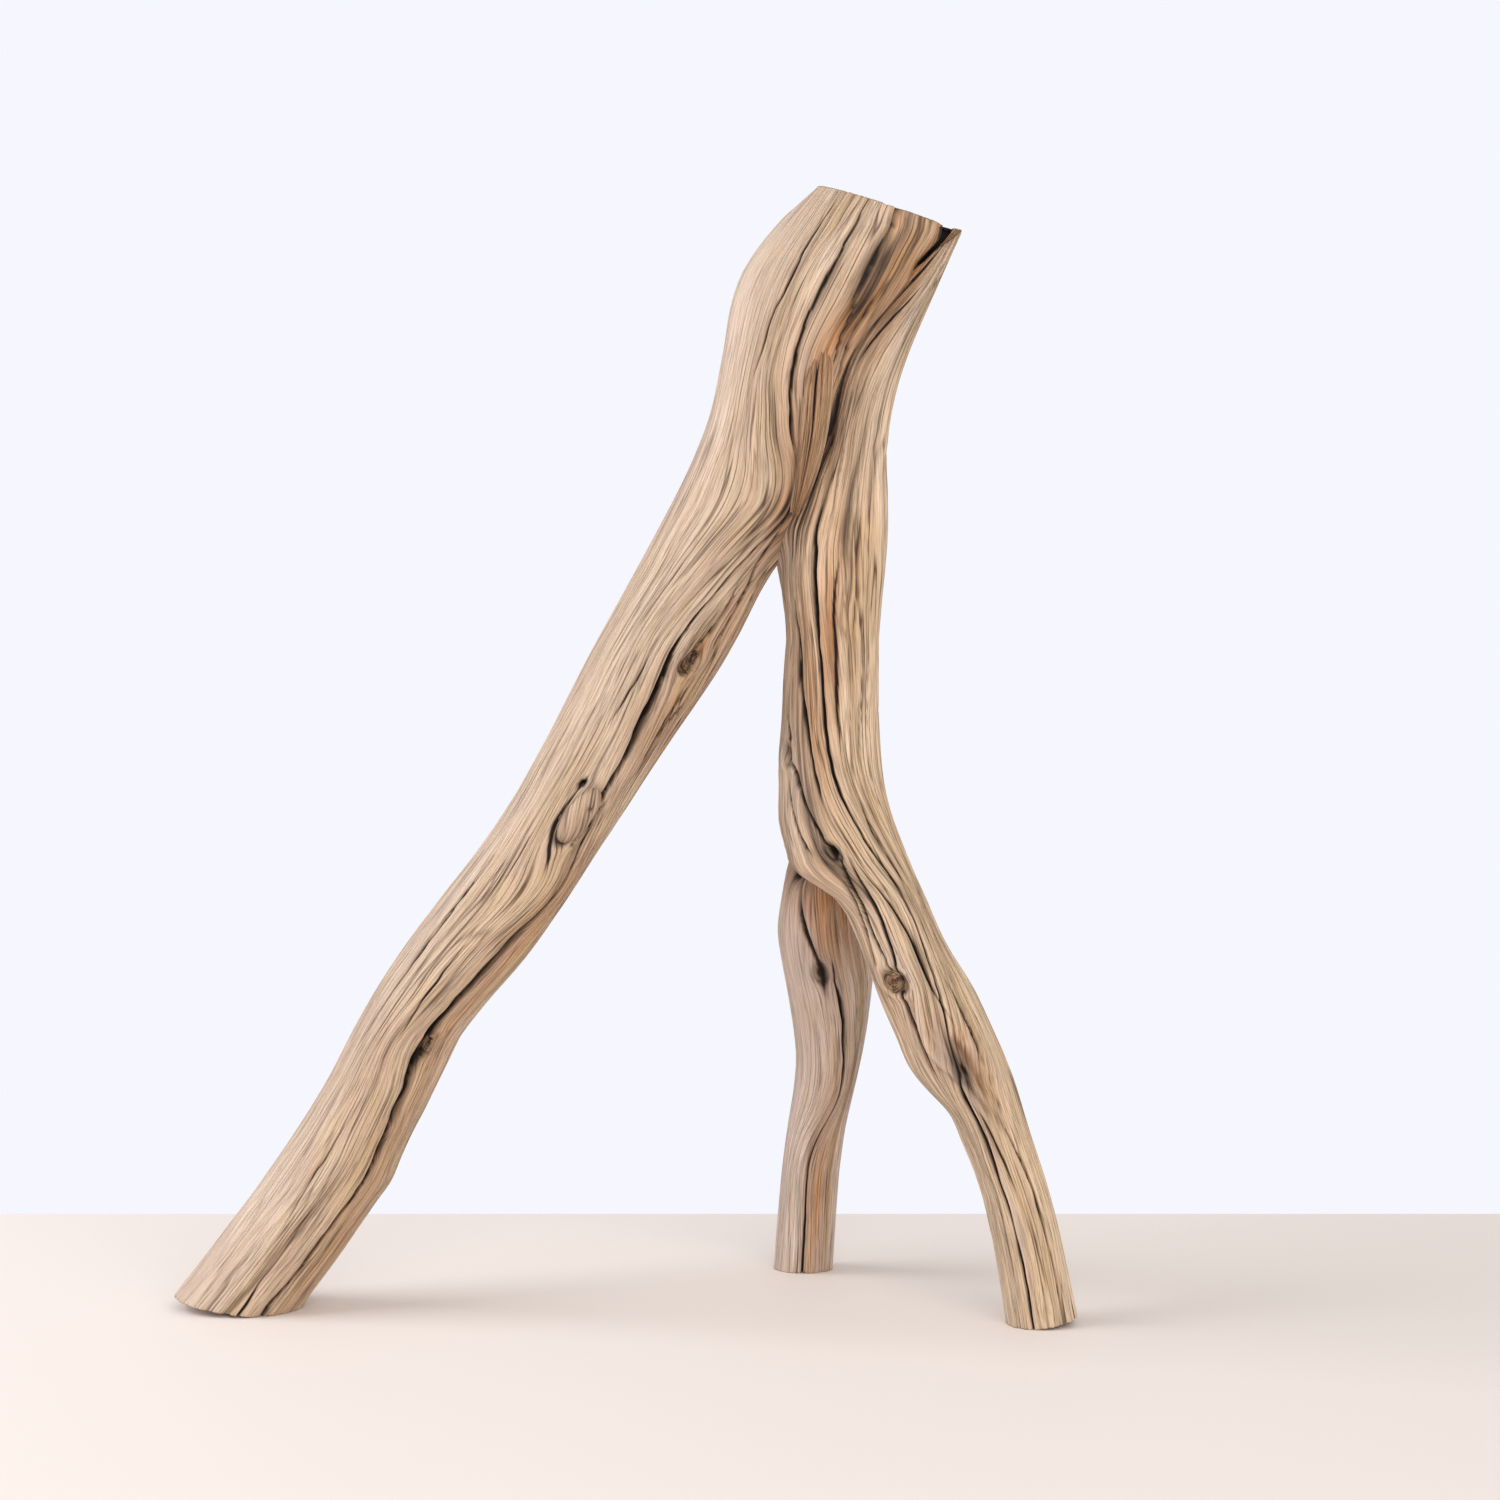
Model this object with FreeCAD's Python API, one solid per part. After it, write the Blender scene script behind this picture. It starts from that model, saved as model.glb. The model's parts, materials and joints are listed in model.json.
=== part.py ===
"""Driftwood tripod: one naturally forked branch, sawn off at the crown and at its three feet.

Frame: millimetres, +Z up, +X to the right of the front view, +Y to the back.  The origin is the
middle of the footprint's box, on the surface that the feet stand on.

The branch is built the way it grew.  Each limb is a loft through level rings about its pith,
lumpy and slowly twisting as wood is.  Each smaller limb keeps its own root, a taper that the
bigger limb has grown round, so the smaller limb is whole and the bigger one carries its pocket.
The knots are dead twigs and a dead stub that a limb has grown round in the same way.  Drying has
opened long checks along the grain, and rot has eaten hollows at the weak places.
"""
import FreeCAD
import Part
import math
import os

VECTOR = FreeCAD.Vector
UP = VECTOR(0, 0, 1)

# --- saw cuts -------------------------------------------------------------------------------------
CROWN_HEIGHT = 339.0        # the crown's cut at its highest, on the left rim
CROWN_RIM_X = 59.5          # where that rim stands
CROWN_SLOPE = 17.3          # degrees that the cut falls to the right
LEFT_TOE_X = -109.0         # the left foot's sole is flat on the floor up to here
LEFT_TOE_LIFT = 8.0         # degrees that the rest of its sole lifts, towards the toe
FRONT_TOE_X = 123.0         # the front foot's sole is flat up to here
FRONT_TOE_LIFT = 8.0        # degrees that the rest of its sole lifts
SPARE = 8.0                 # wood that a limb has beyond the cuts that end it

# --- limbs: where each starts, and then its stretches from the top down -----------------------------
# A start is height, x and y of the pith and half the girth across.  A stretch is how far it drops,
# how many degrees it leans to the left and to the front on the way, and half the girth at its foot.
LEFT_TOP = (350.0, 85.0, -8.0, 13.0)
LEFT_STRETCHES = [
    (22.0, 34.0, 0.0, 23.5),    # crown
    (18.0, 25.0, 0.0, 27.0),    # brow
    (20.0, 26.0, 0.0, 21.0),    # under the brow
    (25.0, 15.0, 0.0, 20.0),    # neck
    (35.0, 26.0, 0.0, 20.0),    # to the crotch
    (30.0, 28.0, 0.0, 21.0),    # shoulder
    (50.0, 31.0, 0.0, 18.0),    # thigh
    (42.0, 35.0, 2.0, 20.0),    # elbow
    (20.0, 37.0, 4.0, 17.5),    # below the elbow
    (18.0, 28.0, 4.0, 17.0),    # waist of the shank
    (25.0, 29.0, 4.0, 19.0),    # shank
    (25.0, 34.0, 4.0, 20.5),    # ankle
    (28.0, 38.0, 4.0, 21.0),    # foot
]
LEFT_FLATNESS = 0.82            # half depth against half width
RIGHT_TOP = (350.0, 107.0, -9.0, 5.0)
RIGHT_STRETCHES = [
    (30.0, 23.0, 0.0, 7.5),     # crown
    (20.0, 32.0, 0.0, 9.5),     # along the seam
    (20.0, 22.0, 0.0, 10.0),    # neck
    (20.0, 10.0, 0.0, 10.0),    # below the neck
    (30.0, 10.0, 0.0, 16.0),    # to the crotch
    (25.0, 2.0, 0.0, 14.5),     # stem
    (45.0, 0.0, 0.0, 15.5),     # lower stem
    (21.0, -9.0, 2.0, 18.5),    # haunch
    (11.0, -42.0, 8.0, 13.5),   # under the haunch, where the rear leg leaves
    (18.0, -26.0, 13.0, 12.5),  # thigh
    (20.0, -25.0, 14.0, 15.0),  # to the ring knot
    (18.0, -26.0, 14.0, 14.0),  # knee
    (9.0, -30.0, 14.0, 11.0),   # under the knee
    (28.0, -20.0, 13.0, 10.0),  # shin
    (43.0, -10.5, 11.0, 10.5),  # foot
]
RIGHT_FLATNESS = 0.95
REAR_TOP = (158.0, 63.0, -7.0, 2.0)
REAR_STRETCHES = [
    (20.0, 3.0, -26.0, 10.0),   # root, inside the right limb
    (28.0, 0.0, -24.0, 13.5),   # thigh
    (24.0, -6.0, -23.0, 12.5),  # calf
    (18.0, 1.0, -18.0, 10.0),   # below the calf
    (26.0, 10.0, -11.0, 9.0),   # ankle
    (50.0, 4.5, -6.0, 9.5),     # foot
]
REAR_FLATNESS = 0.92
TONGUE_TOP = (300.0, 62.0, -24.0, 1.5)
TONGUE_STRETCHES = [
    (12.0, 10.0, -6.0, 4.5),    # tip
    (28.0, 6.0, -6.0, 4.5),     # middle
    (20.0, 12.0, -13.0, 1.5),   # root, down in the seam
]
TONGUE_FLATNESS = 1.0

# --- swellings round a knot: height, bearing, reach along and degrees round, how proud --------------
LEFT_SWELLINGS = [(150.0, 62.0, 14.0, 34.0, 1.5), (195.0, 55.0, 11.0, 34.0, 1.0)]
RIGHT_SWELLINGS = [(101.0, 122.0, 10.0, 34.0, 1.5)]
REAR_SWELLINGS = [(96.0, 30.0, 9.0, 50.0, 1.0)]
NO_SWELLINGS = []

# --- each limb's grain: degrees that it turns in 100 mm of height, and how far round its lobes start --
LEFT_GRAIN = (35.0, 23.0)
RIGHT_GRAIN = (50.0, 109.0)
REAR_GRAIN = (40.0, 178.0)
TONGUE_GRAIN = (20.0, 0.0)
BROAD_LOBES = 0.030         # how far three broad lobes stand proud, against the half width
FINE_LOBES = 0.018          # and five finer ones

# --- checks: height, bearing, mouth width and depth at the turns of each one's course --------------
LONG_CHECK = [
    (325.0, 88.0, 0.4, 1.5),
    (305.0, 92.0, 1.4, 5.0),
    (262.0, 70.0, 1.2, 4.5),
    (243.0, 43.0, 1.4, 5.0),
    (203.0, 82.0, 1.4, 5.0),
    (178.0, 67.0, 2.8, 8.0),
    (130.0, 45.0, 1.4, 5.0),
    (108.0, 66.0, 2.2, 7.0),
    (60.0, 70.0, 1.8, 6.0),
    (35.0, 58.0, 1.6, 6.0),
    (-8.0, 68.0, 1.2, 5.0),
]
CROWN_CHECK = [
    (350.0, 55.0, 1.0, 6.0),
    (330.0, 62.0, 1.2, 5.0),
    (302.0, 70.0, 0.4, 1.5),
]
STEM_CHECK = [
    (240.0, 115.0, 0.4, 1.5),
    (215.0, 113.0, 1.6, 5.5),
    (195.0, 100.0, 1.4, 4.5),
    (165.0, 90.0, 1.0, 3.5),
    (148.0, 70.0, 0.4, 1.5),
]
KNOT_CHECK = [
    (112.0, 140.0, 0.4, 1.5),
    (101.0, 122.0, 1.0, 3.5),
    (85.0, 124.0, 1.0, 3.5),
    (76.0, 140.0, 0.4, 1.5),
]
SHIN_CHECK = [
    (70.0, 108.0, 0.5, 2.0),
    (45.0, 115.0, 1.6, 4.5),
    (25.0, 108.0, 1.2, 4.0),
    (-8.0, 108.0, 1.0, 4.0),
]
OUTER_CHECK = [
    (65.0, 74.0, 0.4, 1.5),
    (30.0, 54.0, 1.2, 4.0),
    (-8.0, 50.0, 0.8, 3.0),
]
REAR_CHECK = [
    (96.0, 80.0, 0.4, 1.5),
    (78.0, 76.0, 1.4, 4.5),
    (50.0, 62.0, 0.4, 1.5),
]
HEEL_CHECK = [
    (52.0, 90.0, 0.4, 1.5),
    (34.0, 102.0, 1.0, 3.5),
    (-8.0, 97.0, 1.4, 4.0),
]
MOUTH = 3.0                 # a check's wedge starts this far outside the wood

# --- the seam's gape at the crown: height, x, mouth width and how far back it reaches ---------------
SEAM_GAPE = [
    (350.0, 112.0, 7.0, -2.0),
    (318.0, 92.0, 7.0, -6.0),
    (302.0, 80.0, 1.0, -16.0),
]
GAPE_FRONT = -34.0          # its wedge starts here, in front of the wood

# --- knots: height and bearing on the limb, then half sizes across, along and into it ---------------
FRONT_KNOT = (101.0, 122.0, 3.4, 3.4, 7.0)
SWIRL_KNOT = (196.0, 58.0, 2.6, 3.2, 7.0)
PIT_KNOT = (81.0, 58.0, 2.4, 3.2, 6.0)
PIT_DEPTH = 1.2             # how far the pit knot has rotted back
KNOT_TAPER = 0.6            # a knot's root against its face
BARK_GAP = 0.2              # hairline that the lost bark leaves round a knot
STUB_KNOT = (150.0, 72.0, 4.6, 10.5, 6.5)
STUB_SUNK = 5.2             # how deep the stub's middle lies

# --- hollows: height and bearing, then half sizes across, along and into the limb -------------------
FORK_HOLLOW = (128.0, 125.0, 5.0, 5.0, 4.0)
SHIN_HOLLOW = (74.0, 90.0, 2.6, 6.5, 4.5)
TWIG_HOLE = (140.0, 103.0, 1.2, 1.6, 4.0)

# --- how finely growth is drawn -------------------------------------------------------------------------
RING_POINTS = 18            # points on a limb's ring
RING_SPACING = 11.0         # rings along a limb
OVAL_POINTS = 12            # points on a ring of a knot or a hollow
CHECK_SPACING = 9.0         # sections along a check
POD_RINGS = 7               # rings along a stub or a hollow
MESH = 0.05                 # the finished tripod is measured this finely for its origin


def smooth(rows, z):
    """What the rows say at height z: a smooth curve through them, and flat beyond the end ones."""
    rows = sorted(rows)
    z = min(max(z, rows[0][0]), rows[-1][0])
    k = 0
    while k < len(rows) - 2 and z > rows[k + 1][0]:
        k += 1
    low = rows[k]
    high = rows[k + 1]
    below = rows[max(k - 1, 0)]
    above = rows[min(k + 2, len(rows) - 1)]
    span = high[0] - low[0]
    t = (z - low[0]) / span
    values = []
    for column in range(1, len(low)):
        leaving = (high[column] - below[column]) / (high[0] - below[0]) * span
        arriving = (above[column] - low[column]) / (above[0] - low[0]) * span
        value = (2 * t ** 3 - 3 * t ** 2 + 1) * low[column]
        value += (3 * t ** 2 - 2 * t ** 3) * high[column]
        value += (t ** 3 - 2 * t ** 2 + t) * leaving
        value += (t ** 3 - t ** 2) * arriving
        values.append(value)
    return values


class Limb:
    """A limb's pith and girth all the way down it, and the lumps that growth has left on it."""

    def __init__(self, top, stretches, flatness, grain, swellings):
        height, x, y, half = top
        self.rings = [(height, x, y, half, half * flatness)]
        for drop, left, front, half in stretches:
            height -= drop
            x -= drop * math.tan(math.radians(left))
            y -= drop * math.tan(math.radians(front))
            self.rings.append((height, x, y, half, half * flatness))
        self.twist, self.phase = grain
        self.swellings = swellings

    def surface(self, z, bearing):
        """The point on the limb at height z and a bearing from +X round towards the front."""
        x, y, half_x, half_y = smooth(self.rings, z)
        angle = math.radians(bearing)
        turned = math.radians(bearing + self.twist * z / 100.0 + self.phase)
        lump = 1.0 + BROAD_LOBES * math.sin(3 * turned) + FINE_LOBES * math.sin(5 * turned)
        for height, middle, along, around, proud in self.swellings:
            away = (bearing - middle + 180.0) % 360.0 - 180.0
            lump += proud / half_x * math.exp(-((z - height) / along) ** 2 - (away / around) ** 2)
        return VECTOR(x + half_x * lump * math.cos(angle), y - half_y * lump * math.sin(angle), z)

    def seat(self, z, bearing):
        """The surface point there with its outward, sideways and along-the-grain directions."""
        point = self.surface(z, bearing)
        along = self.surface(z + 2, bearing) - self.surface(z - 2, bearing)
        around = self.surface(z, bearing + 3) - self.surface(z, bearing - 3)
        out = along.cross(around).normalize()
        side = out.cross(along).normalize()
        return point, out, side, out.cross(side)

    def solid(self, z_low, z_high):
        """The limb from z_low to z_high, a loft through level rings."""
        count = max(3, round((z_high - z_low) / RING_SPACING) + 1)
        wires = []
        for i in range(count):
            z = z_low + (z_high - z_low) * i / (count - 1)
            points = [self.surface(z, 360.0 * k / RING_POINTS) for k in range(RING_POINTS)]
            wires.append(closed(points))
        return Part.makeLoft(wires, True, True)


def closed(points):
    """The outline that joins these points and returns to the first."""
    return Part.makePolygon(points + points[:1])


def oval(centre, across, along):
    """A ring with these two half axes."""
    points = []
    for k in range(OVAL_POINTS):
        angle = 2 * math.pi * k / OVAL_POINTS
        points.append(centre + across * math.cos(angle) + along * math.sin(angle))
    return closed(points)


def check(limb, course):
    """The wedge of air that a check leaves: wide at its mouth and closing to a line inside."""
    z_high = course[0][0]
    z_low = course[-1][0]
    count = max(3, round((z_high - z_low) / CHECK_SPACING) + 1)
    wires = []
    for i in range(count):
        z = z_high + (z_low - z_high) * i / (count - 1)
        bearing, width, depth = smooth(course, z)
        mouth = limb.surface(z, bearing)
        x, y = smooth(limb.rings, z)[:2]
        inward = (VECTOR(x, y, z) - mouth).normalize()
        across = inward.cross(UP) * (width / 2 * (1 + MOUTH / depth))
        start = mouth - inward * MOUTH
        wires.append(closed([start + across, mouth + inward * depth, start - across]))
    return Part.makeLoft(wires, True, True)


def seam_gape():
    """The wedge of air that rot has opened down the seam, from the crown's cut."""
    wires = []
    for z, x, width, back in SEAM_GAPE:
        left = VECTOR(x - width / 2, GAPE_FRONT, z)
        right = VECTOR(x + width / 2, GAPE_FRONT, z)
        wires.append(closed([left, VECTOR(x, back, z), right]))
    return Part.makeLoft(wires, True, True)


def twig(limb, knot, grown=0.0, sunk=-MOUTH):
    """A dead twig that tapers from beyond the limb's surface, or sunk below it, in to its root."""
    z, bearing, across, along, into = knot
    point, out, side, grain = limb.seat(z, bearing)
    ends = []
    for depth in (sunk, into):
        share = 1.0 - (1.0 - KNOT_TAPER) * depth / into
        wide = side * (across * share + grown)
        ends.append(oval(point - out * depth, wide, grain * (along * share + grown)))
    return Part.makeLoft(ends, True, True)


def pod(limb, place, sunk=0.0):
    """A spindle at a limb's surface, its long side along the grain."""
    z, bearing, across, along, into = place
    point, out, side, grain = limb.seat(z, bearing)
    rings = []
    for i in range(POD_RINGS):
        polar = math.pi * (i + 0.5) / POD_RINGS
        girth = math.sin(polar)
        centre = point - out * sunk + grain * (along * math.cos(polar))
        rings.append(oval(centre, side * (across * girth), out * (into * girth)))
    return Part.makeLoft(rings, True, True)


def beyond(point, normal, reach=600.0):
    """A block that fills everything on the normal's side of a plane through point."""
    block = Part.makeBox(2 * reach, 2 * reach, reach, VECTOR(-reach, -reach, 0))
    block.Placement = FreeCAD.Placement(point, FreeCAD.Rotation(UP, normal))
    return block


def leaning(degrees):
    """A direction that leans from +Z towards +X."""
    return VECTOR(math.sin(math.radians(degrees)), 0, math.cos(math.radians(degrees)))


def build():
    """Every piece of the tripod, by name."""
    left = Limb(LEFT_TOP, LEFT_STRETCHES, LEFT_FLATNESS, LEFT_GRAIN, LEFT_SWELLINGS)
    right = Limb(RIGHT_TOP, RIGHT_STRETCHES, RIGHT_FLATNESS, RIGHT_GRAIN, RIGHT_SWELLINGS)
    rear = Limb(REAR_TOP, REAR_STRETCHES, REAR_FLATNESS, REAR_GRAIN, REAR_SWELLINGS)
    tongue = Limb(TONGUE_TOP, TONGUE_STRETCHES, TONGUE_FLATNESS, TONGUE_GRAIN, NO_SWELLINGS)

    crown_cut = beyond(VECTOR(CROWN_RIM_X, 0, CROWN_HEIGHT), leaning(CROWN_SLOPE))
    floor_cut = beyond(VECTOR(0, 0, 0), -UP)
    left_toe_cut = beyond(VECTOR(LEFT_TOE_X, 0, 0), -leaning(LEFT_TOE_LIFT))
    front_toe_cut = beyond(VECTOR(FRONT_TOE_X, 0, 0), -leaning(-FRONT_TOE_LIFT))

    left_wood = left.solid(-SPARE, CROWN_HEIGHT + SPARE)
    left_wood = left_wood.cut([crown_cut, floor_cut, left_toe_cut])
    right_wood = right.solid(-SPARE, CROWN_HEIGHT + SPARE)
    right_wood = right_wood.cut([crown_cut, floor_cut, front_toe_cut])
    rear_wood = rear.solid(-SPARE, REAR_TOP[0]).cut(floor_cut)
    tongue_wood = tongue.solid(tongue.rings[-1][0], TONGUE_TOP[0])
    stub_wood = pod(left, STUB_KNOT, STUB_SUNK)

    left_air = [check(left, LONG_CHECK), check(left, CROWN_CHECK), seam_gape()]
    left_air += [twig(left, SWIRL_KNOT, BARK_GAP), twig(left, PIT_KNOT, BARK_GAP)]
    right_air = [check(right, STEM_CHECK), check(right, KNOT_CHECK), seam_gape()]
    right_air += [check(right, SHIN_CHECK), check(right, OUTER_CHECK)]
    right_air += [twig(right, FRONT_KNOT, BARK_GAP), pod(right, SHIN_HOLLOW), pod(right, TWIG_HOLE)]
    rear_air = [check(rear, REAR_CHECK), check(rear, HEEL_CHECK), pod(rear, FORK_HOLLOW)]

    pieces = {}
    pieces["left_limb"] = left_wood.cut([right_wood, tongue_wood, stub_wood] + left_air)
    pieces["right_limb"] = right_wood.cut([rear_wood, tongue_wood] + right_air)
    pieces["rear_limb"] = rear_wood.cut(rear_air)
    pieces["seam_tongue"] = tongue_wood
    pieces["stub_knot"] = stub_wood
    pieces["swirl_knot"] = twig(left, SWIRL_KNOT).common(left_wood)
    pieces["pit_knot"] = twig(left, PIT_KNOT, 0.0, PIT_DEPTH)
    pieces["front_knot"] = twig(right, FRONT_KNOT).common(right_wood)
    return stood_at_origin(pieces)


def stood_at_origin(pieces):
    """The pieces moved so that the middle of their box's underside is the origin."""
    points = Part.makeCompound(list(pieces.values())).tessellate(MESH)[0]
    middle_x = (min(p.x for p in points) + max(p.x for p in points)) / 2
    middle_y = (min(p.y for p in points) + max(p.y for p in points)) / 2
    for shape in pieces.values():
        shape.translate(VECTOR(-middle_x, -middle_y, 0))
    return pieces


if __name__ == "__main__":
    os.makedirs("parts", exist_ok=True)
    for name, shape in build().items():
        print(f"{name}: {len(shape.Solids)} solid, {shape.Volume / 1000:.2f} cm3, valid {shape.isValid()}")
        shape.exportStep(os.path.join("parts", name + ".step"))
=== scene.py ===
# %% [markdown]
# # A driftwood tripod
# This lesson dresses a sawn, naturally forked branch of driftwood that stands on three legs.  Its
# solids are already placed, at real size.  Here every limb gets the skin of weathered wood: ridged
# grain, long drying checks, knots that the grain flows round, and end grain on the saw cuts.
# A bump map alone can't do it, because a check is several millimetres deep and breaks the outline.
# Sculpting by hand could, but nothing about it could be changed afterwards.  So the skin is a fine
# mesh, and every point of it is worked out from a few named values.

# %% Load the solids
import itertools
import json
import math

import bpy
import numpy as np
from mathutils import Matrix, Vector
from mathutils.bvhtree import BVHTree


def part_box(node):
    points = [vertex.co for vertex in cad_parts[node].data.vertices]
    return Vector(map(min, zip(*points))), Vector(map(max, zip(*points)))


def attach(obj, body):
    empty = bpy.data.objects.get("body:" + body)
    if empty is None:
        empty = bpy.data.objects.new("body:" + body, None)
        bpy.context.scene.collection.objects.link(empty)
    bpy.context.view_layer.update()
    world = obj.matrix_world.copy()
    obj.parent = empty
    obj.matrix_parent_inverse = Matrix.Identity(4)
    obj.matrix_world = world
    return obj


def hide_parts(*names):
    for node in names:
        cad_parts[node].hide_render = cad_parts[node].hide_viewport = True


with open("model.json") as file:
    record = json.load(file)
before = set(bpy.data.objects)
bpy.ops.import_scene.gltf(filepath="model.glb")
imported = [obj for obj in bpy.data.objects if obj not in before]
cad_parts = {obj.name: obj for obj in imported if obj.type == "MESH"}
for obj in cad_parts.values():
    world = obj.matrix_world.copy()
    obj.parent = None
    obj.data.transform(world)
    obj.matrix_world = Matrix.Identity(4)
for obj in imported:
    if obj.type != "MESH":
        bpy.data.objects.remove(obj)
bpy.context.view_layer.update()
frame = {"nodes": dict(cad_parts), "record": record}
MM = 0.001
print("solids:", sorted(frame["nodes"]))

# %% [markdown]
# ## Noise that runs along the grain
# Wood varies slowly along its fibres and fast across them.  Smooth random numbers on a lattice,
# squeezed across the grain and stretched along it, give that.  Blender's noise texture could do it
# for a material, but here the mesh needs the numbers as well.  They come from a hash of the lattice
# point and a seed, so the wood is the same on every run.


# %% A number for each lattice point
HASH_STEPS = (374761393, 668265263, 1442695041, 974634777)      # one for x, y, z and the seed
HASH_STIR = 1274126177
WORD = 0xFFFFFFFF
SHORT_WORD = 0xFFFFFF


def hashed(x, y, z, seed):
    """A random number from 0 to 1 for each whole-numbered lattice point."""
    mixed = sum(step * value for step, value in zip(HASH_STEPS, (x, y, z, seed)))
    mixed = (mixed ^ (mixed >> 13)) & WORD
    mixed = (mixed * HASH_STIR) & WORD
    return ((mixed ^ (mixed >> 16)) & SHORT_WORD) / SHORT_WORD


print("three neighbours on the lattice:", hashed(np.arange(3), 0, 0, 1).round(2))


# %% Smooth noise
def noise(x, y, z, seed):
    """Smooth noise from -1 to 1 with a lattice step of 1."""
    x, y, z = np.broadcast_arrays(x, y, z)
    low = [np.floor(v).astype(np.int64) for v in (x, y, z)]
    share = [v - f for v, f in zip((x, y, z), low)]
    ease = [s * s * (3 - 2 * s) for s in share]
    total = np.zeros(x.shape)
    for corner in itertools.product((0, 1), repeat=3):
        weight = np.ones(x.shape)
        for step, e in zip(corner, ease):
            weight = weight * (e if step else 1 - e)
        total += weight * hashed(*[f + step for f, step in zip(low, corner)], seed)
    return 2 * total - 1


sample = noise(np.linspace(0, 50, 500), 0.5, 0.5, 1)
print(f"noise runs from {sample.min():.2f} to {sample.max():.2f}")

# %% [markdown]
# ## Reading a limb off its solid
# A limb's skin needs to know where its pith runs and how thick it is at every height.  The numbers
# could be typed in again, but they would be wrong as soon as the solid changed.  So the solid is
# cut level every few millimetres, and a flattened circle is fitted to each cut.  First, the cut.

# %% Cut a solid level
ALONG_A_FACET = (0.1, 0.3, 0.5, 0.7, 0.9)       # where points are taken on each facet's cut
LEAST_WEIGHT = 0.01


def facets(node):
    """The corners of a node's triangles, in millimetres."""
    mesh = node.data
    mesh.calc_loop_triangles()
    places = np.array([v.co[:] for v in mesh.vertices]) / MM
    return places[np.array([t.vertices[:] for t in mesh.loop_triangles])]


def level_cut(corners, height):
    """Points along a level cut through triangles, and the lengths that they stand for."""
    above = corners[:, :, 2] - height
    crossed = corners[(above.min(axis=1) < 0) & (above.max(axis=1) > 0)]
    points = []
    weights = []
    for triangle in crossed:
        ends = []
        for p, q in zip(triangle, np.roll(triangle, -1, axis=0)):
            if (p[2] - height) * (q[2] - height) < 0:
                ends.append(p + (q - p) * (height - p[2]) / (q[2] - p[2]))
        if len(ends) == 2:
            for share in ALONG_A_FACET:
                points.append(ends[0] + (ends[1] - ends[0]) * share)
                weights.append(np.linalg.norm(ends[1] - ends[0]) + LEAST_WEIGHT)
    return np.array(points), np.array(weights)


print("facets of the left limb:", len(facets(frame["nodes"]["left_limb"])))

# %% [markdown]
# ## Fitting a round to a cut
# A cut has more in it than the round: checks bite into it, and neighbours leave pockets.  The mean
# of the points would be pulled aside by them.  A least squares fit that is made again without the
# points that stand off it settles on the round, and the pockets are left out from the start.

# %% Fit a round
OFF_ROUND = 0.06            # a point this far off the fitted round is a check's wall
FACETING = 1.008            # how much bigger the round is than the solid's flat facets show
FITS = 4


def fitted_round(points, weights, flatness):
    """The centre and radius of the flattened circle that fits the points."""
    x = points[:, 0]
    y = points[:, 1] / flatness
    kept = np.ones(len(x), bool)
    for _ in range(FITS):
        sides = np.column_stack([2 * x, 2 * y, np.ones(len(x))])[kept]
        scale = weights[kept]
        goal = (x ** 2 + y ** 2)[kept] * scale
        answer = np.linalg.lstsq(sides * scale[:, None], goal, rcond=None)[0]
        radius = math.sqrt(max(answer[2] + answer[0] ** 2 + answer[1] ** 2, 1.0))
        off = np.hypot(x - answer[0], y - answer[1]) / radius - 1
        kept = np.abs(off) < OFF_ROUND
    return answer[0], answer[1] * flatness, radius * FACETING


trial_turn = np.linspace(0, 6, 40)
trial_cut = np.column_stack([3 + 10 * np.cos(trial_turn), 8 * np.sin(trial_turn)])
print("a round of radius 10 is read as", round(fitted_round(trial_cut, np.ones(40), 0.8)[2], 2))

# %% [markdown]
# ## Rows up a limb
# Neighbours leave pockets in a limb, and most saw cuts lean, so it isn't whole near its ends.
# Points in pockets are left out, the rows are blurred into a smooth line, and that line is carried
# on straight past both ends, for the skin to be trimmed from.  Cutting more closely wouldn't help,
# because the solid's own facets would show.

# %% Leave out the pockets
SHARED = 0.25               # a point this near a neighbour, in millimetres, lies in its pocket


def clear_of(points, trees):
    """Whether each point lies off every neighbour's surface."""
    clear = []
    for p in points:
        near = [tree.find_nearest(Vector(p * MM), SHARED * MM)[0] for tree in trees]
        clear.append(all(hit is None for hit in near))
    return np.array(clear)


print("a point with no neighbours is clear:", clear_of(np.zeros((1, 3)), [])[0])

# %% Measure up a limb
CUT_STEP = 4.0              # millimetres between level cuts
ROW_BLUR = 0.9              # how many cuts a row is blurred over
BEYOND = 30.0               # millimetres that a limb is carried on past both ends
THINNEST_LIMB = 0.5


def smoothed(rows):
    """Rows blurred into their neighbours and carried on straight past both ends."""
    blur = np.exp(-0.5 * (np.arange(-2, 3) / ROW_BLUR) ** 2)
    blur /= blur.sum()
    before = 2 * rows[:1] - rows[2:0:-1]
    after = 2 * rows[-1:] - rows[-2:-4:-1]
    padded = np.concatenate([before, rows, after])
    smooth = np.column_stack([np.convolve(padded[:, k], blur, "valid") for k in range(4)])
    reach = BEYOND / CUT_STEP
    start = smooth[0] + (smooth[0] - smooth[3]) / 3 * reach
    end = smooth[-1] + (smooth[-1] - smooth[-4]) / 3 * reach
    rows = np.concatenate([[start], smooth, [end]])
    rows[:, 3] = np.maximum(rows[:, 3], THINNEST_LIMB)
    return rows


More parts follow.
